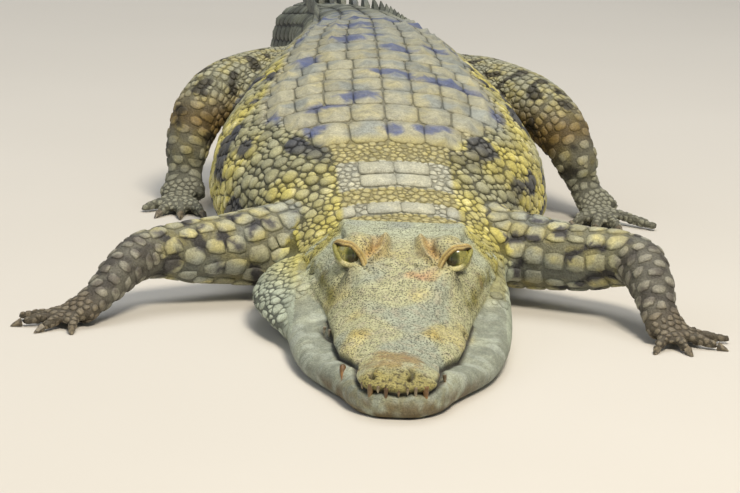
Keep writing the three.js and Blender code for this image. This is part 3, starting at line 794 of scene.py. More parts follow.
def mend(mesh, weld=False, triangles=False):
    """Turns a mesh's faces outwards, its doubled points welded and its faces cut up first where asked."""
    shape = bmesh.new()
    shape.from_mesh(mesh)
    if weld:
        bmesh.ops.remove_doubles(shape, verts=shape.verts, dist=1e-6)
    bmesh.ops.recalc_face_normals(shape, faces=shape.faces)
    if triangles:
        bmesh.ops.triangulate(shape, faces=shape.faces)
    shape.to_mesh(mesh)
    shape.free()


def beside_snout(name, points, faces, side):
    """A mesh from points told from the left eye's middle, or mirrored for the right."""
    mesh = bpy.data.meshes.new(name)
    place = SNOUT + [side * EYE_AT[0], EYE_AT[1], EYE_AT[2]] + points * [side, 1, 1]
    mesh.from_pydata((place / 1000).tolist(), [], faces if side > 0 else [face[::-1] for face in faces])
    return mesh


for name, side in (("left", 1), ("right", -1)):
    mesh = beside_snout("eyeball_" + name, ball * EYE_RADIUS, eye_faces, side)
    paint(mesh, eye_colour, np.zeros(len(ball)))
    mend(mesh, weld=True)
    mesh.materials.append(eye_material)
    eye = in_scene("eyeball_" + name, mesh, smooth=True)
    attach(eye, "root")
    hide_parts("eye_" + name)

# ---------- the eyelids ----------
# Soft rubber lids round each eye: a yellow-orange upper lid and a thick pale lower one with a fold under it, darkened
# as painted shade.
# rows: how far out from the parting, and how high over the eyeball (mm), for the upper and the lower lid
UPPER_ROWS = [
    (-1.0, -1.2), (-0.7, 0.6), (0.0, 1.5), (0.9, 1.7), (2.0, 1.3), (3.0, 1.7), (4.4, 1.5),
    (6.0, 0.6), (8.0, -2.0),
]
LOWER_ROWS = [
    (-1.0, -1.2), (-0.8, 0.4), (-0.2, 1.7), (0.9, 2.4), (2.0, 2.2), (2.8, 1.2), (3.5, -0.2),
    (5.0, 0.4), (7.4, -2.0),
]
normal = parting_dir
tangent = np.roll(parting, -1, 0) - np.roll(parting, 1, 0)
tangent /= np.linalg.norm(tangent, axis=1)[:, None]
outward = np.cross(tangent, normal)
outward *= np.sign((outward * (parting - parting.mean(0))).sum(1))[:, None]
outward /= np.linalg.norm(outward, axis=1)[:, None]
lower_share = ease(-(outward @ look_up), -0.25, 0.45)
base_radius = np.maximum(np.linalg.norm(parting, axis=1), EYE_RADIUS)
lid_points, lid_colour = [], []
for (upper_out, upper_high), (lower_out, lower_high) in zip(UPPER_ROWS, LOWER_ROWS):
    out = upper_out + (lower_out - upper_out) * lower_share
    high = upper_high + (lower_high - upper_high) * lower_share
    spread = parting_dir * base_radius[:, None] + outward * out[:, None]
    spread = spread / np.linalg.norm(spread, axis=1)[:, None] * (base_radius + high)[:, None]
    lid_points.append(spread)
    grain = cloud(spread, 2.2, 23)
    outer = ease(parting_dir[:, 0], 0.35, 0.6)
    fade = ease(out, 4.6, 6.0)
    upper = mixed(
        "#b39a52",
        ("#c5b47c", grain * 0.9),
        ("#6b4f25", (np.exp(-(((out - 2.0) / 0.6) ** 2)) + 1 - ease(out, -0.6, 0.3)) * 0.75),
        ("#2a1d0e", outer * (1 - ease(out, 0.2, 1.2)) * 0.9),
        ("#b3b08a", fade),
    )
    under = mixed(
        "#d5cf9e",
        ("#b9b06e", grain * 0.7),
        # painted shade in the fold under the lower lid
        ("#3a3120", ease(out, 2.2, 3.0) * (1 - ease(out, 4.2, 5.4)) * (1 - outer)),
        ("#9a9750", outer),
        ("#b3b592", fade),
    )
    lid_colour.append(upper * (1 - lower_share[:, None]) + under * lower_share[:, None])
lid_points = np.vstack(lid_points)
lid_colour = np.vstack(lid_colour)
lid_faces = [[v % len(lid_points) for v in face] for face in ring_faces(len(UPPER_ROWS), LID_POINTS)]
lid_material = hide_material("soft_rubber_lid", 0.5, 1.6, 1.6, 0.35)
for name, side in (("left", 1), ("right", -1)):
    mesh = beside_snout("eyelids_" + name, lid_points, lid_faces, side)
    paint(mesh, lid_colour, np.full(len(lid_points), 0.4))
    mend(mesh)
    mesh.materials.append(lid_material)
    lids = in_scene("eyelids_" + name, mesh, smooth=True)
    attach(lids, "root")

# ---------- the teeth ----------
# Cast resin teeth, stained brown at the root: the upper ones hang outside the lower jaw, and the
# fourth lower one stands in a notch behind the nose.
# (place from the snout tip, length, radius, colour) of the teeth that hang over the lower lip
TEETH = [
    ((-29, 14, 25), 4, 1.7, "#8f8264"), ((-23, 7, 25), 14, 2.8, "#8d7550"), ((-16.5, 3, 25), 4, 1.5, "#a3967a"),
    ((-9.5, 1, 24), 11, 1.9, "#6b5236"), ((0.5, 1, 23.5), 5, 1.6, "#857050"), ((7.5, 1, 24), 3.5, 1.3, "#a89a7c"),
    ((14.5, 1.5, 25), 7, 1.6, "#a3957a"), ((23, 7, 25), 13, 2.8, "#8f6c42"), ((37, 40, 27), 6, 1.7, "#8c7a5e"),
    ((-64, 184, 34), 5, 1.5, "#b5ad98"), ((-60.5, 174, 34), 5, 1.4, "#b5ad98"),
]
TOOTH_SIDES, TOOTH_RINGS = 14, 9
tooth_points, tooth_faces, tooth_colour = [], [], []


def add_tooth(root, axis, lean, length, radius, code):
    """A curved cone from its root, along axis, bent towards lean."""
    axis, lean = np.array(axis, float), np.array(lean, float)
    axis /= np.linalg.norm(axis)
    one = np.cross(axis, [0, 1, 0.2])
    one /= np.linalg.norm(one)
    two = np.cross(axis, one)
    first = len(tooth_points)
    for r in range(TOOTH_RINGS):
        share = r / (TOOTH_RINGS - 1)
        wide = radius * (1 - share**1.7) + 0.35 * share
        middle = np.array(root) + axis * (length * share) + lean * (share**2 * length)
        for s in range(TOOTH_SIDES):
            angle = 2 * math.pi * s / TOOTH_SIDES
            tooth_points.append(middle + wide * (math.cos(angle) * one + math.sin(angle) * two))
            stain = ease(np.array([share]), 0.75, 0.2)
            tooth_colour.append(mixed(code, ("#4b3a26", 0.6 * stain))[0])
    tooth_faces.extend(ring_faces(TOOTH_RINGS - 1, TOOTH_SIDES, first))
    tooth_faces.append([first + s for s in reversed(range(TOOTH_SIDES))])
    tooth_faces.append([first + (TOOTH_RINGS - 1) * TOOTH_SIDES + s for s in range(TOOTH_SIDES)])


for place, length, radius, code in TEETH:
    lip, lip_normal, _, _ = start_tree.find_nearest(Vector(place) - Vector((0, 0, 3)))
    root = SNOUT + np.array(lip) - np.array(lip_normal) * (radius * 0.55) + [0, 0, 5]
    add_tooth(root, (0.004 * place[0], -0.06, -1), (-0.002 * place[0], 0.1, 0), length + 2, radius, code)
# the long one lies in a notch of the upper lip, on the animal's right
add_tooth(SNOUT + [-45.5, 64, 26.5], (0.03, -0.9, -0.42), (0, 0, -0.1), 18, 2.7, "#856238")
tooth_mesh = bpy.data.meshes.new("teeth")
tooth_mesh.from_pydata((np.array(tooth_points) / 1000).tolist(), [], tooth_faces)
paint(tooth_mesh, np.array(tooth_colour), np.full(len(tooth_points), 0.3))
mend(tooth_mesh)
tooth_mesh.materials.append(hide_material("stained_resin_tooth", 0.32, 3.0, 6.0, 0.1))
teeth = in_scene("teeth", tooth_mesh, smooth=True)
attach(teeth, "root")

# ---------- the claws ----------
# The CAD claws, in tan-brown resin streaked with darker brown.
claw_material, tree, shader = new_material("brown_resin_claw")
place = node(tree, "ShaderNodeTexCoord").outputs["Object"]
streaks = node(tree, "ShaderNodeTexNoise", Vector=place, Scale=260.0, Detail=3.0)
ramp = node(tree, "ShaderNodeValToRGB", Fac=streaks.outputs["Fac"])
ramp.color_ramp.elements[0].position = 0.35
ramp.color_ramp.elements[0].color = (*linear("#3c362c"), 1)
ramp.color_ramp.elements[1].position = 0.65
ramp.color_ramp.elements[1].color = (*linear("#857a64"), 1)
tree.links.new(ramp.outputs[0], shader.inputs["Base Color"])
shader.inputs["Roughness"].default_value = 0.4
for name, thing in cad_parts.items():
    if "claw" in name:
        thing.data.materials.clear()
        thing.data.materials.append(claw_material)

# ---------- the scales ----------
# Cast rubber scales over the skin, each a low closed cushion: keeled plates in rows on the back,
# rounded beads among small grains on the sides, plates in rows on tail and arms, bands on forearms.
rng = np.random.default_rng(11)


def drop_on_skin(place, direction):
    """Where a line from place along direction meets the skin, or None."""
    found = skin_tree.ray_cast(Vector(place), Vector(direction))[0]
    return None if found is None else np.array(found)


def arc_of(place):
    """The steps between places in a row, and how far along it each place is."""
    step = np.linalg.norm(np.diff(place, axis=0), axis=1)
    return step, np.concatenate([[0], np.cumsum(step)])


# one row per scale: middle, normal, the way it lies, half length, half width, height, keel, kind
# and the way across it
seeds = []
BACK, BEAD, GRAIN, TAIL, PLATE, BAND, THROAT = range(7)


def add_seed(place, normal, lie, long, wide, high, keel, kind):
    lie = lie - normal * (lie @ normal)
    size = np.linalg.norm(lie)
    if size > 1e-6:
        lie = lie / size
        seeds.append((place, normal, lie, long, wide, high, keel, kind, np.cross(normal, lie)))


def part_at(point):
    """Index of the limb at one place, or -1 on the body."""
    return limb_of(point[None], *along_line(point[None]))[0][0]


def add_seated(point, *shape):
    """A seed where the skin comes nearest to a point."""
    seated, level, _, _ = skin_tree.find_nearest(Vector(point))
    add_seed(np.array(seated), np.array(level), *shape)


# rows across the body, from the nape to the tail tip
STEEPEST = 14  # a longer step between two hits, in mm, is a jump to another part
OUTSIDE = 320


def body_row(t_at, start, end, wide, long, high, keel, kind, height_share=0.35):
    """Scales side by side on the body's section at t, between two distances from the middle of the back."""
    foot = beside_line(np.array([t_at]), np.array([0.0]))[0]
    back, left = back_and_left(t_at)
    core = np.array([foot[0], foot[1], np.interp(t_at, body_t, body_top) * height_share])
    for side in (-1, 1):
        hits = []
        for angle in np.radians(np.arange(90, -60, -2.0)):
            away = left * math.cos(angle) * side + np.array([0, 0, math.sin(angle)])
            hits.append(drop_on_skin(core + away * OUTSIDE, -away))
        place = np.array([hit for hit in hits if hit is not None])
        step, arc = arc_of(place)
        for k in range(int((end - start) / wide + 0.5)):
            at = start + (k + 0.5) * wide
            if at > arc[-1]:
                break
            point = at_place(at, arc, place)
            if point[2] < 4 or part_at(point) >= 0 or np.interp(at, arc[1:], step) > STEEPEST:
                continue
            ridge = keel * (0.6 + 0.9 * at / max(end, 1)) if kind == BACK else keel
            add_seated(point, back, long / 2, wide / 2, high, ridge, kind)


# plates of the neck: t, from and to (mm from the middle), width, length
NECK_PLATES = [(402, 0, 31, 31, 19), (402, 42, 60, 18, 17), (449, 0, 33, 33, 20), (469, 0, 33, 33, 20)]
for t_at, inner, outer, wide, long in NECK_PLATES:
    body_row(t_at, inner, outer, wide, long, 2.6, 2.0, BACK)
BACK_ROWS, BACK_START, BACK_PITCH, BACK_WIDE = 15, 537, 46, 29
for k in range(BACK_ROWS):
    t_at = BACK_START + BACK_PITCH * k
    reach = float(np.interp(t_at, CARAPACE_T, CARAPACE_HALF))
    columns = max(2, round(reach / BACK_WIDE))
    body_row(t_at, 0, reach, reach / columns, BACK_PITCH, 2.2, 3.0 + 0.12 * k, BACK)
t_at, TAIL_END = 1192, 2470
while t_at < TAIL_END:
    pitch = 34 if t_at > 1215 else 23
    high = float(np.interp(t_at, [1190, TAIL_END], [2.4, 1.2]))
    wide = float(np.interp(t_at, [1190, 1800, TAIL_END], [27, 17, 7]))
    body_row(t_at, 0, 400, wide, pitch - 1, high, 1.2, TAIL, 0.45)
    t_at += pitch
# rows along the arms and legs
# length, width and height of a scale on the upper arm, the thigh, below the elbow or knee, and on hand or foot
UPPER_ARM, THIGH, LOWER, HAND = (21, 21, 2.2), (9.5, 9.5, 1.5), (8.5, 27, 1.6), (6.5, 8, 1.1)
FIRST_ROW, LAST_ROW, AHEAD, LIMB_THICK = 40.0, 24, 12, 62
for limb_index, (limb_name, path) in enumerate(zip(LIMBS, limb_paths)):
    lengths = arc_of(path)[1]
    arm = limb_name.startswith("arm")
    at = FIRST_ROW
    row = 0
    while at < lengths[-1] - LAST_ROW:
        share = float(np.interp(at, lengths, np.arange(len(path)) / (len(path) - 1)))
        upper = share < (0.43 if arm else 0.46)
        if upper:
            long, wide, high = UPPER_ARM if arm else THIGH
        else:
            long, wide, high = LOWER if share < 0.78 else HAND
        core = at_place(at, lengths, path)
        ahead = at_place(min(at + AHEAD, lengths[-1]), lengths, path) - at_place(at - AHEAD, lengths, path)
        ahead /= np.linalg.norm(ahead)
        one = np.cross(ahead, [0, 0, 1.0])
        one = one / np.linalg.norm(one) if np.linalg.norm(one) > 0.2 else np.cross(ahead, [0, 1.0, 0])
        two = np.cross(one, ahead)
        hits = []
        for angle in np.radians(np.arange(0, 360, 6.0)):
            slant = ahead * (0.35 * math.cos(angle) if upper else 0.1 * math.cos(angle))
            away = one * math.cos(angle) + two * math.sin(angle)
            hit = drop_on_skin(core + slant * 30 + away * 90, -away)
            if hit is not None and np.linalg.norm(hit - core) < LIMB_THICK:
                hits.append(hit)
        if len(hits) > 6:
            place = np.array(hits + hits[:1])
            arc = arc_of(place)[1]
            fit = max(4, round(arc[-1] / wide))
            for k in range(fit):
                # below the elbow and knee every other row is set half a scale round
                point = at_place((k + 0.5 * (row % 2) * (not upper)) * arc[-1] / fit, arc, place)
                if point[2] > 2.5 and part_at(point) == limb_index:
                    add_seated(point, ahead, long / 2, wide / 2, high, 0.0, PLATE if upper else BAND)
        at += long
        row += 1

# loose beads and grains fill the rest of the skin
skin_mesh.calc_loop_triangles()
skin_tri = pulled(skin_mesh.loop_triangles, "vertices", 3, int)
corner_a, corner_b, corner_c = (co[skin_tri[:, k]] for k in range(3))
cross = np.cross(corner_b - corner_a, corner_c - corner_a)
area = np.linalg.norm(cross, axis=1) / 2
tri_normal = cross / np.maximum(area * 2, 1e-9)[:, None]
chance = area / area.sum()
DARTS = 150000
pick = rng.choice(len(area), DARTS, p=chance)
u, v = rng.random(DARTS), rng.random(DARTS)
flip = u + v > 1
u, v = np.where(flip, 1 - u, u), np.where(flip, 1 - v, v)
dart = corner_a[pick] + u[:, None] * (corner_b - corner_a)[pick] + v[:, None] * (corner_c - corner_a)[pick]
dart_normal = tri_normal[pick]
dart_t, dart_x = along_line(dart)
dart_owner, dart_share = limb_of(dart, dart_t, dart_x)
dart_hx, dart_hy = np.abs(dart[:, 0] - SNOUT[0]), dart[:, 1] - SNOUT[1]
cheek = (dart_hy > 262) & (dart_hx > 77) & (dart[:, 2] > 38) & (dart[:, 2] < 72)
by_mouth = from_path(np.stack([dart_hx, dart_hy, dart[:, 2]], 1), MOUTH) < 7
temple = (dart_hy > 320) & (dart_hx > 57)
off_head = (dart_owner >= 0) | (dart_t > 350) | (np.abs(dart_x) > 98)
allowed = (dart[:, 2] > 2.2) & ~by_mouth & (off_head | cheek | temple)
dart, dart_normal, dart_t, dart_x, dart_owner, dart_share = (
    a[allowed] for a in (dart, dart_normal, dart_t, dart_x, dart_owner, dart_share)
)
dart_turn = heading(dart_t)
dart_lie = np.stack([-np.sin(dart_turn), np.cos(dart_turn), 0 * dart_turn], 1)
for limb_index, line in enumerate(limb_lines):
    path = line[:, :3]
    of_limb = dart_owner == limb_index
    j = np.minimum((dart_share * (len(path) - 1)).astype(int), len(path) - 2)
    dart_lie[of_limb] = (path[j + 1] - path[j])[of_limb]
# places are looked up by cube, each cube as wide as two scales reach
CUBE = 24.0
cells = {}


def remember(index, place):
    cells.setdefault(tuple((place // CUBE).astype(int)), []).append(index)


AROUND_CUBE = [(dx, dy, dz) for dx in (-1, 0, 1) for dy in (-1, 0, 1) for dz in (-1, 0, 1)]


def crowded(place, normal, radius, squeeze):
    """Whether a scale of that radius would run into one that is already there."""
    cx, cy, cz = (place // CUBE).astype(int)
    for dx, dy, dz in AROUND_CUBE:
        for index in cells.get((cx + dx, cy + dy, cz + dz), ()):
            other = seeds[index]
            off = place - other[0]
            if other[7] in (BACK, TAIL, PLATE, BAND):
                edge = radius * 0.8
                near = abs(off @ other[2]) < other[3] + edge and abs(off @ other[8]) < other[4] + edge
            else:
                reach = squeeze * (radius + (other[3] + other[4]) / 2)
                near = off @ off < reach * reach
            if near and other[1] @ normal > 0.1:
                return True
    return False


for index, seed in enumerate(seeds):
    remember(index, seed[0])
# large beads first, in a loose scatter, then the grains between them
on_limb = dart_owner >= 0
throat = ~on_limb & (dart_t < 450)
nape = ~on_limb & (dart_t < 520) & (np.abs(dart_x) < 54)
for large, squeeze in ((True, 0.98), (False, 0.8)):
    for i in range(len(dart)):
        share = rng.random()
        if on_limb[i]:
            if dart_share[i] > 0.8:
                radius, high = 3.0, 0.9
            else:
                radius, high = (4.8, 1.6) if large else (3.0, 1.2)
        elif nape[i]:
            radius, high = (3.6, 1.0) if large else (2.4, 0.8)
        elif throat[i]:
            radius, high = (5.0 + 2.0 * share, 1.1) if large else (3.0, 0.8)
        elif dart_t[i] > 1200:
            radius, high = 5.5, 1.4
        else:
            radius, high = (6.5 + 3.0 * share, 3.0) if large else (3.3 + share, 1.6)
        if crowded(dart[i], dart_normal[i], radius, squeeze):
            continue
        kind = THROAT if throat[i] else BEAD if large else GRAIN
        add_seed(dart[i], dart_normal[i], dart_lie[i], radius * 1.08, radius * 0.96, high, 0.0, kind)
        remember(len(seeds) - 1, dart[i])

# each scale ends half way to its neighbours
middle = np.array([seed[0] for seed in seeds])
normal = np.array([seed[1] for seed in seeds])
lie = np.array([seed[2] for seed in seeds])
wide_way = np.cross(normal, lie)
long, wide, high, keel = (np.array([seed[k] for seed in seeds], float) for k in (3, 4, 5, 6))
kind = np.array([seed[7] for seed in seeds])
tree_of_seeds = KDTree(len(seeds))
for index, place in enumerate(middle):
    tree_of_seeds.insert(Vector(place), index)
tree_of_seeds.balance()
NEAR = 14
near_index = np.zeros((len(seeds), NEAR), int)
for index, place in enumerate(middle):
    found = tree_of_seeds.find_n(Vector(place), NEAR + 1)
    near_index[index] = [hit[1] for hit in found[1:]]
off = middle[near_index] - middle[:, None]
off_long = np.einsum("ijk,ik->ij", off, lie)
off_wide = np.einsum("ijk,ik->ij", off, wide_way)
facing = np.einsum("ijk,ik->ij", normal[near_index], normal) > 0.0
away = np.maximum(np.hypot(off_long, off_wide), 1e-6)
# half sizes of a scale and of its neighbour along the line between them; the plates in rows are squarer
CORNERS = np.array([6.0, 2.0, 2.0, 6.0, 4.0, 4.0, 2.0])[kind]
power = CORNERS[:, None]
own = (np.abs(off_long) / away / long[:, None]) ** power + (np.abs(off_wide) / away / wide[:, None]) ** power
own = own ** (-1 / power)
direction = np.stack([off_long / away, off_wide / away], -1)
world_way = direction[..., :1] * lie[:, None] + direction[..., 1:] * wide_way[:, None]
their_long = np.einsum("ijk,ijk->ij", world_way, lie[near_index])
their_wide = np.einsum("ijk,ijk->ij", world_way, wide_way[near_index])
power = CORNERS[near_index]
theirs = (np.abs(their_long) / long[near_index]) ** power + (np.abs(their_wide) / wide[near_index]) ** power
theirs = (theirs + 1e-9) ** (-1 / power)
border = np.linalg.norm(off, axis=2) * own / (own + theirs)
in_rows = np.isin(kind, (BACK, TAIL, PLATE, BAND))
border = np.where(facing & ~(in_rows[:, None] & ~in_rows[near_index]), border, 1e3)
# by kind: width of the groove between scales (mm), how far past its size a scale may spread, squareness of cuts
GROOVE = np.array([0.7, 1.0, 0.7, 0.8, 0.8, 0.8, 0.7])[kind] / 2
REACH = np.array([1.05, 1.45, 1.45, 1.1, 1.15, 1.2, 1.5])[kind]
SQUARE = np.array([26.0, 8.0, 9.0, 24.0, 20.0, 16.0, 14.0])[kind]


def outline(sides):
    """Distance of each scale's rim from its middle, at that many angles from the way it lies."""
    angles = 2 * math.pi * np.arange(sides) / sides
    out = np.empty((len(seeds), sides))
    for s, angle in enumerate(angles):
        toward = np.maximum(direction[..., 0] * math.cos(angle) + direction[..., 1] * math.sin(angle), 0)
        pull = ((toward / border) ** SQUARE[:, None]).sum(1)
        limit = (abs(math.cos(angle)) / long) ** CORNERS + (abs(math.sin(angle)) / wide) ** CORNERS
        limit = REACH * limit ** (-1 / CORNERS)
        out[:, s] = (pull + limit**-SQUARE) ** (-1 / SQUARE) - GROOVE
    return angles, np.maximum(out, 0.8)


def unwrap(points, t, x, owner, share):
    """The place of each point on a flat layout of the skin: the body in one strip, each leg in its own."""
    top, half = np.interp(t, body_t, body_top), np.interp(t, body_t, body_half)
    around = np.arctan2(x / half, (points[:, 2] - 0.4 * top) / top) / (2 * math.pi)
    flat = np.stack([0.01 + 0.98 * t / LENGTH, 0.3 + 0.56 * around], 1)
    for index, path in enumerate(limb_paths):
        of_limb = owner == index
        if not of_limb.any():
            continue
        away = points[of_limb] - at_place(share[of_limb] * (len(path) - 1), np.arange(len(path)), path)
        turned = np.arctan2(away[:, 1] + away[:, 0] * np.sign(path[-1, 0] - SNOUT[0]), away[:, 2]) / (2 * math.pi)
        flat[of_limb] = np.stack([0.01 + 0.245 * index + 0.22 * share[of_limb], 0.8 + 0.36 * turned], 1)
    return flat


seed_t, seed_x = along_line(middle)
seed_owner, seed_share = limb_of(middle, seed_t, seed_x)
seed_flat = unwrap(middle, seed_t, seed_x, seed_owner, seed_share)
seed_colour, seed_speckle = markings(middle)
tone = rng.normal(1.0, np.where(kind == BACK, 0.05, 0.09), len(seeds))
PATCH = 0.0015  # size of one scale on the flat layout
FULL_PAINT = 60000  # meshes with fewer points carry the markings across their faces


def build_scales(name, chosen, sides, rings, slot, material):
    """One mesh of closed cushions. rings: (share of the outline, share of the height)."""
    chosen = np.flatnonzero(chosen)
    if not len(chosen):
        return
    angles, out = outline(sides)
    out = out[chosen]
    spot, up, way, cross_way = middle[chosen], normal[chosen], lie[chosen], wide_way[chosen]
    ray = way[:, None] * np.cos(angles)[None, :, None] + cross_way[:, None] * np.sin(angles)[None, :, None]
    rim = spot[:, None] + ray * out[..., None]
    flat_rim = rim.reshape(-1, 3)
    landed = np.empty_like(flat_rim)
    landed_up = np.empty_like(flat_rim)
    for i, place in enumerate(flat_rim):
        landed[i], landed_up[i] = skin_tree.find_nearest(Vector(place))[:2]
    landed, landed_up = landed.reshape(rim.shape), landed_up.reshape(rim.shape)
    verts, shade = [], []
    tall, ridge = high[chosen], keel[chosen]
    for part, lift in rings:
        point = spot[:, None] * (1 - part) + landed * part
        slope = up[:, None] * (1 - part) + landed_up * part
        slope /= np.linalg.norm(slope, axis=2)[..., None]
        keel_here = ridge[:, None] * np.exp(-((np.sin(angles)[None] * out * part / (wide[chosen][:, None] * 0.3)) ** 2))
        keel_here = keel_here * (1 - part**2) * (0.7 - 0.3 * np.cos(angles)[None] * part) * (lift > 0)
        rise = tall[:, None] * lift + keel_here
        rise = np.minimum(rise, tall[:, None] + ridge[:, None])
        verts.append(point + slope * rise[..., None])
        shade.append(np.full((len(chosen), sides), 0.5 + 0.55 * min(1, lift) if lift > 0 else 0.35))
    apex = spot + up * (tall + ridge * 0.8)[:, None]
    under = spot - up * 0.6
    ring_points = np.stack(verts, 1)
    per = len(rings) * sides + 2
    all_points = np.concatenate([ring_points.reshape(len(chosen), -1, 3), apex[:, None], under[:, None]], 1)
    all_points[..., 2] = np.maximum(all_points[..., 2], 0.0)
    last = (len(rings) - 1) * sides
    tips = [(last + s, last + (s + 1) % sides, per - 2) for s in range(sides)]
    bases = [((s + 1) % sides, s, per - 1) for s in range(sides)]
    start = (np.arange(len(chosen)) * per)[:, None, None]
    quads_all = (np.array(ring_faces(len(rings) - 1, sides))[None] + start).reshape(-1, 4)
    tris_all = (np.array(tips + bases)[None] + start).reshape(-1, 3)
    mesh = bpy.data.meshes.new(name)
    mesh.vertices.add(all_points.size // 3)
    mesh.vertices.foreach_set("co", (all_points / 1000).ravel())
    loops = np.concatenate([quads_all.ravel(), tris_all.ravel()])
    mesh.loops.add(len(loops))
    mesh.loops.foreach_set("vertex_index", loops)
    starts = np.concatenate([np.arange(len(quads_all)) * 4, len(quads_all) * 4 + np.arange(len(tris_all)) * 3])
    mesh.polygons.add(len(starts))
    mesh.polygons.foreach_set("loop_start", starts)
    mesh.polygons.foreach_set("use_smooth", [True] * len(starts))
    mesh.update(calc_edges=True)
    mesh.validate()
    # painted light: each scale is darkened towards its foot and underside and lightened at its top
    ring_light = np.stack(shade, 1).reshape(len(chosen), -1)
    light = np.column_stack([ring_light, np.full(len(chosen), 1.06), np.full(len(chosen), 0.4)])
    paints = seed_colour[chosen][:, None]
    if len(chosen) * per < FULL_PAINT:
        paints = markings(all_points.reshape(-1, 3))[0].reshape(len(chosen), per, 3)
    tint = paints * (light * tone[chosen][:, None])[..., None]
    paint(mesh, np.clip(tint.reshape(-1, 3), 0, 1), np.repeat(seed_speckle[chosen], per))
    layout = mesh.uv_layers.new(name="OFBake")
    circle = np.stack([np.cos(angles), np.sin(angles)], 1)
    local = np.concatenate([part * circle for part, _ in rings] + [np.zeros((2, 2))])
    uv = (seed_flat[chosen][:, None] + local[None] * PATCH).reshape(-1, 2)
    layout.data.foreach_set("uv", uv[loops].astype(np.float32).ravel())
    mesh.materials.append(material)
    coat = in_scene(name, mesh)
    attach(coat, "root")


# matt painted rubber scale
scale_material = hide_material("painted_rubber_scale", 0.55, 1.8, 2.6, 0.35)
CUSHION = [(1.0, -0.3), (0.98, 0.3), (0.8, 0.8), (0.42, 0.98)]
LOW_CUSHION = [(1.0, -0.3), (0.96, 0.45), (0.6, 0.95)]
PLATE_RINGS = [(1.0, -0.3), (1.0, 0.35), (0.92, 0.72), (0.62, 0.95), (0.3, 1.0)]
body_scale = seed_owner < 0
loose = (kind != THROAT) & (kind != BACK)
trunk = body_scale & (seed_t <= 1190) & loose
tail = body_scale & (seed_t > 1190) & loose
PIECES = [("scales_back", kind == BACK, 24, PLATE_RINGS, "back_hide")]
for group, part_kind, sides, rings in (("scales_flank_", BEAD, 12, CUSHION), ("grains_", GRAIN, 8, LOW_CUSHION)):
    PIECES.append((group + "left", trunk & (kind == part_kind) & (seed_x > 0), sides, rings, "back_hide"))
    PIECES.append((group + "right", trunk & (kind == part_kind) & (seed_x <= 0), sides, rings, "back_hide"))
PIECES.append(("scales_throat", body_scale & (kind == THROAT), 10, LOW_CUSHION, "pale_hide"))
PIECES.append(("scales_tail", tail, 14, CUSHION, "back_hide"))
for index, limb_name in enumerate(LIMBS):
    PIECES.append(("scales_" + limb_name, seed_owner == index, 10, CUSHION, "limb_hide"))
for piece in PIECES:
    build_scales(*piece, scale_material)

# ---------- the tail crest ----------
# Upright rubber scutes along the top of the tail, in two rows that join into one: thin, leaning back.
CREST_HIGH = [
    (1215, 3), (1350, 6), (1500, 14), (1650, 26), (1790, 35), (2100, 34), (2350, 23), (2475, 10),
]
crest_t, crest_high = np.array(CREST_HIGH, float).T
CREST_START, CREST_END, CREST_PITCH = 1215, 2475, 34
LEAN = 0.42
SUNK = 4  # how deep a scute's foot stands in the skin
# outline of a scute from the side: along the tail (share of the pitch), and up (share of the height)
profile = [
    (-0.5, 0.0), (-0.4, 0.3), (-0.1, 0.72), (0.28, 0.98), (0.46, 0.96), (0.52, 0.6), (0.5, 0.25),
    (0.5, 0.0),
]
crest_points, crest_faces = [], []
for t_at in range(CREST_START, CREST_END, CREST_PITCH):
    half = float(np.interp(t_at, body_t, body_half))
    apart = half * 0.6 * (1 - float(ease(t_at, 1500, 1780)))
    tall = float(np.interp(t_at, crest_t, crest_high))
    back, left = back_and_left(t_at)
    for offset in [-apart, apart] if apart > 4.5 else [0.0]:
        foot = beside_line(np.array([float(t_at)]), np.array([offset]))[0]
        hit = drop_on_skin((foot[0], foot[1], OUTSIDE), (0, 0, -1))
        if hit is None:
            continue
        first = len(crest_points)
        for layer in (-1, 0, 1):
            for along, up in profile:
                rise = up * tall
                bulge = layer * (4.2 * (1 - up) + 0.7)
                edge = 0.45 if abs(along) > 0.45 or up > 0.9 else 1.0
                behind = along * CREST_PITCH * (1 - 0.35 * up) + rise * LEAN
                lifted = np.array([0, 0, rise - SUNK * (up == 0)])
                crest_points.append(hit + back * behind + left * bulge * edge + lifted)
        size = len(profile)
        for layer in (0, 1):
            for k in range(size - 1):
                a = first + layer * size + k
                crest_faces.append([a, a + 1, a + 1 + size, a + size])
        # the two broad faces and the underside
        crest_faces.append([first + k for k in range(size)])
        crest_faces.append([first + 2 * size + k for k in reversed(range(size))])
        corners = (0, size - 1, 2 * size - 1, 3 * size - 1, 2 * size, size)
        crest_faces.append([first + corner for corner in corners])
crest_mesh = bpy.data.meshes.new("tail_crest")
crest_mesh.from_pydata((np.array(crest_points) / 1000).tolist(), [], crest_faces)
mend(crest_mesh, triangles=True)
crest_co = read_points(crest_mesh)
crest_colour, crest_speckle = markings(crest_co)
paint(crest_mesh, crest_colour * 0.85, crest_speckle)
crest_uv = crest_mesh.uv_layers.new(name="OFBake")
crest_line = along_line(crest_co)
crest_flat = unwrap(crest_co, *crest_line, *limb_of(crest_co, *crest_line))
loop_vertex = pulled(crest_mesh.loops, "vertex_index", 1, int)[:, 0]
crest_uv.data.foreach_set("uv", crest_flat[loop_vertex].astype(np.float32).ravel())
crest_mesh.materials.append(scale_material)
crest = in_scene("tail_crest", crest_mesh)
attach(crest, "root")

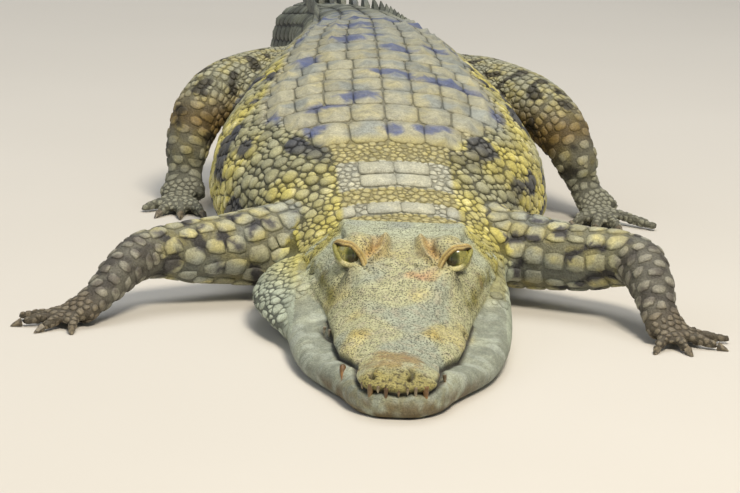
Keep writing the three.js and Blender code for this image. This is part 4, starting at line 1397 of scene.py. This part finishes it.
# ---------- floor, light and camera ----------
# A plain pale studio floor, soft light from above and the front left, and a low camera before the snout.
floor_mesh = bpy.data.meshes.new("floor")
floor_mesh.from_pydata([(-9, -6, -0.0005), (9, -6, -0.0005), (9, 14, -0.0005), (-9, 14, -0.0005)], [], [[0, 1, 2, 3]])
floor = in_scene("floor", floor_mesh)
floor_material, tree, shader = new_material("matt_studio_floor")
place = node(tree, "ShaderNodeTexCoord").outputs["Object"]
patches = node(tree, "ShaderNodeTexNoise", Vector=place, Scale=1.5, Detail=2.0)
pale = node(tree, "ShaderNodeValToRGB", Fac=patches.outputs["Fac"])
pale.color_ramp.elements[0].color = (*linear("#c9c5bc"), 1)
pale.color_ramp.elements[1].color = (*linear("#d2cec6"), 1)
tree.links.new(pale.outputs[0], shader.inputs["Base Color"])
shader.inputs["Roughness"].default_value = 0.85
floor_mesh.materials.append(floor_material)

world = bpy.data.worlds.new("studio")
bpy.context.scene.world = world
world.use_nodes = True
sky = world.node_tree.nodes["Background"]
sky.inputs["Color"].default_value = (*linear("#dfe3e8"), 1)
sky.inputs["Strength"].default_value = 0.36


def area_light(name, place, target, size, power, colour):
    data = bpy.data.lights.new(name, "AREA")
    data.shape = "DISK"
    data.size = size
    data.energy = power
    data.color = tuple(linear(colour))
    lamp = in_scene(name, data)
    lamp.location = place
    lamp.rotation_euler = (Vector(target) - Vector(place)).to_track_quat("-Z", "Y").to_euler()


area_light("key", (0.9, -2.4, 3.5), (0, -0.4, 0.1), 1.3, 160, "#fff4e2")
area_light("fill", (-2.8, -1.6, 2.2), (0, -0.3, 0.1), 2.4, 16, "#e8f0ff")
area_light("top", (0.2, 1.2, 3.6), (0, 0.2, 0.1), 2.6, 60, "#ffffff")

camera_data = bpy.data.cameras.new("camera")
SENSOR, FOCAL, FRAME_WIDE = 36, 3190, 740  # sensor in mm, focal length and frame width in pixels
camera_data.sensor_width = SENSOR
camera_data.lens = FOCAL / FRAME_WIDE * SENSOR
camera_data.clip_end = 60
camera = in_scene("camera", camera_data)
pitch, yaw, roll = math.radians(-11.69), math.radians(-0.48), math.radians(2.0)
ahead = Vector((math.sin(yaw) * math.cos(pitch), math.cos(yaw) * math.cos(pitch), math.sin(pitch)))
level = Vector((math.cos(yaw), -math.sin(yaw), 0))
above = level.cross(ahead)
right = level * math.cos(roll) + above * math.sin(roll)
up = above * math.cos(roll) - level * math.sin(roll)
turn = Matrix((right, up, -ahead)).transposed().to_4x4()
camera.matrix_world = Matrix.Translation((0.02475, -3.22866, 0.647)) @ turn
bpy.context.scene.camera = camera
bpy.context.scene.view_settings.view_transform = "Standard"
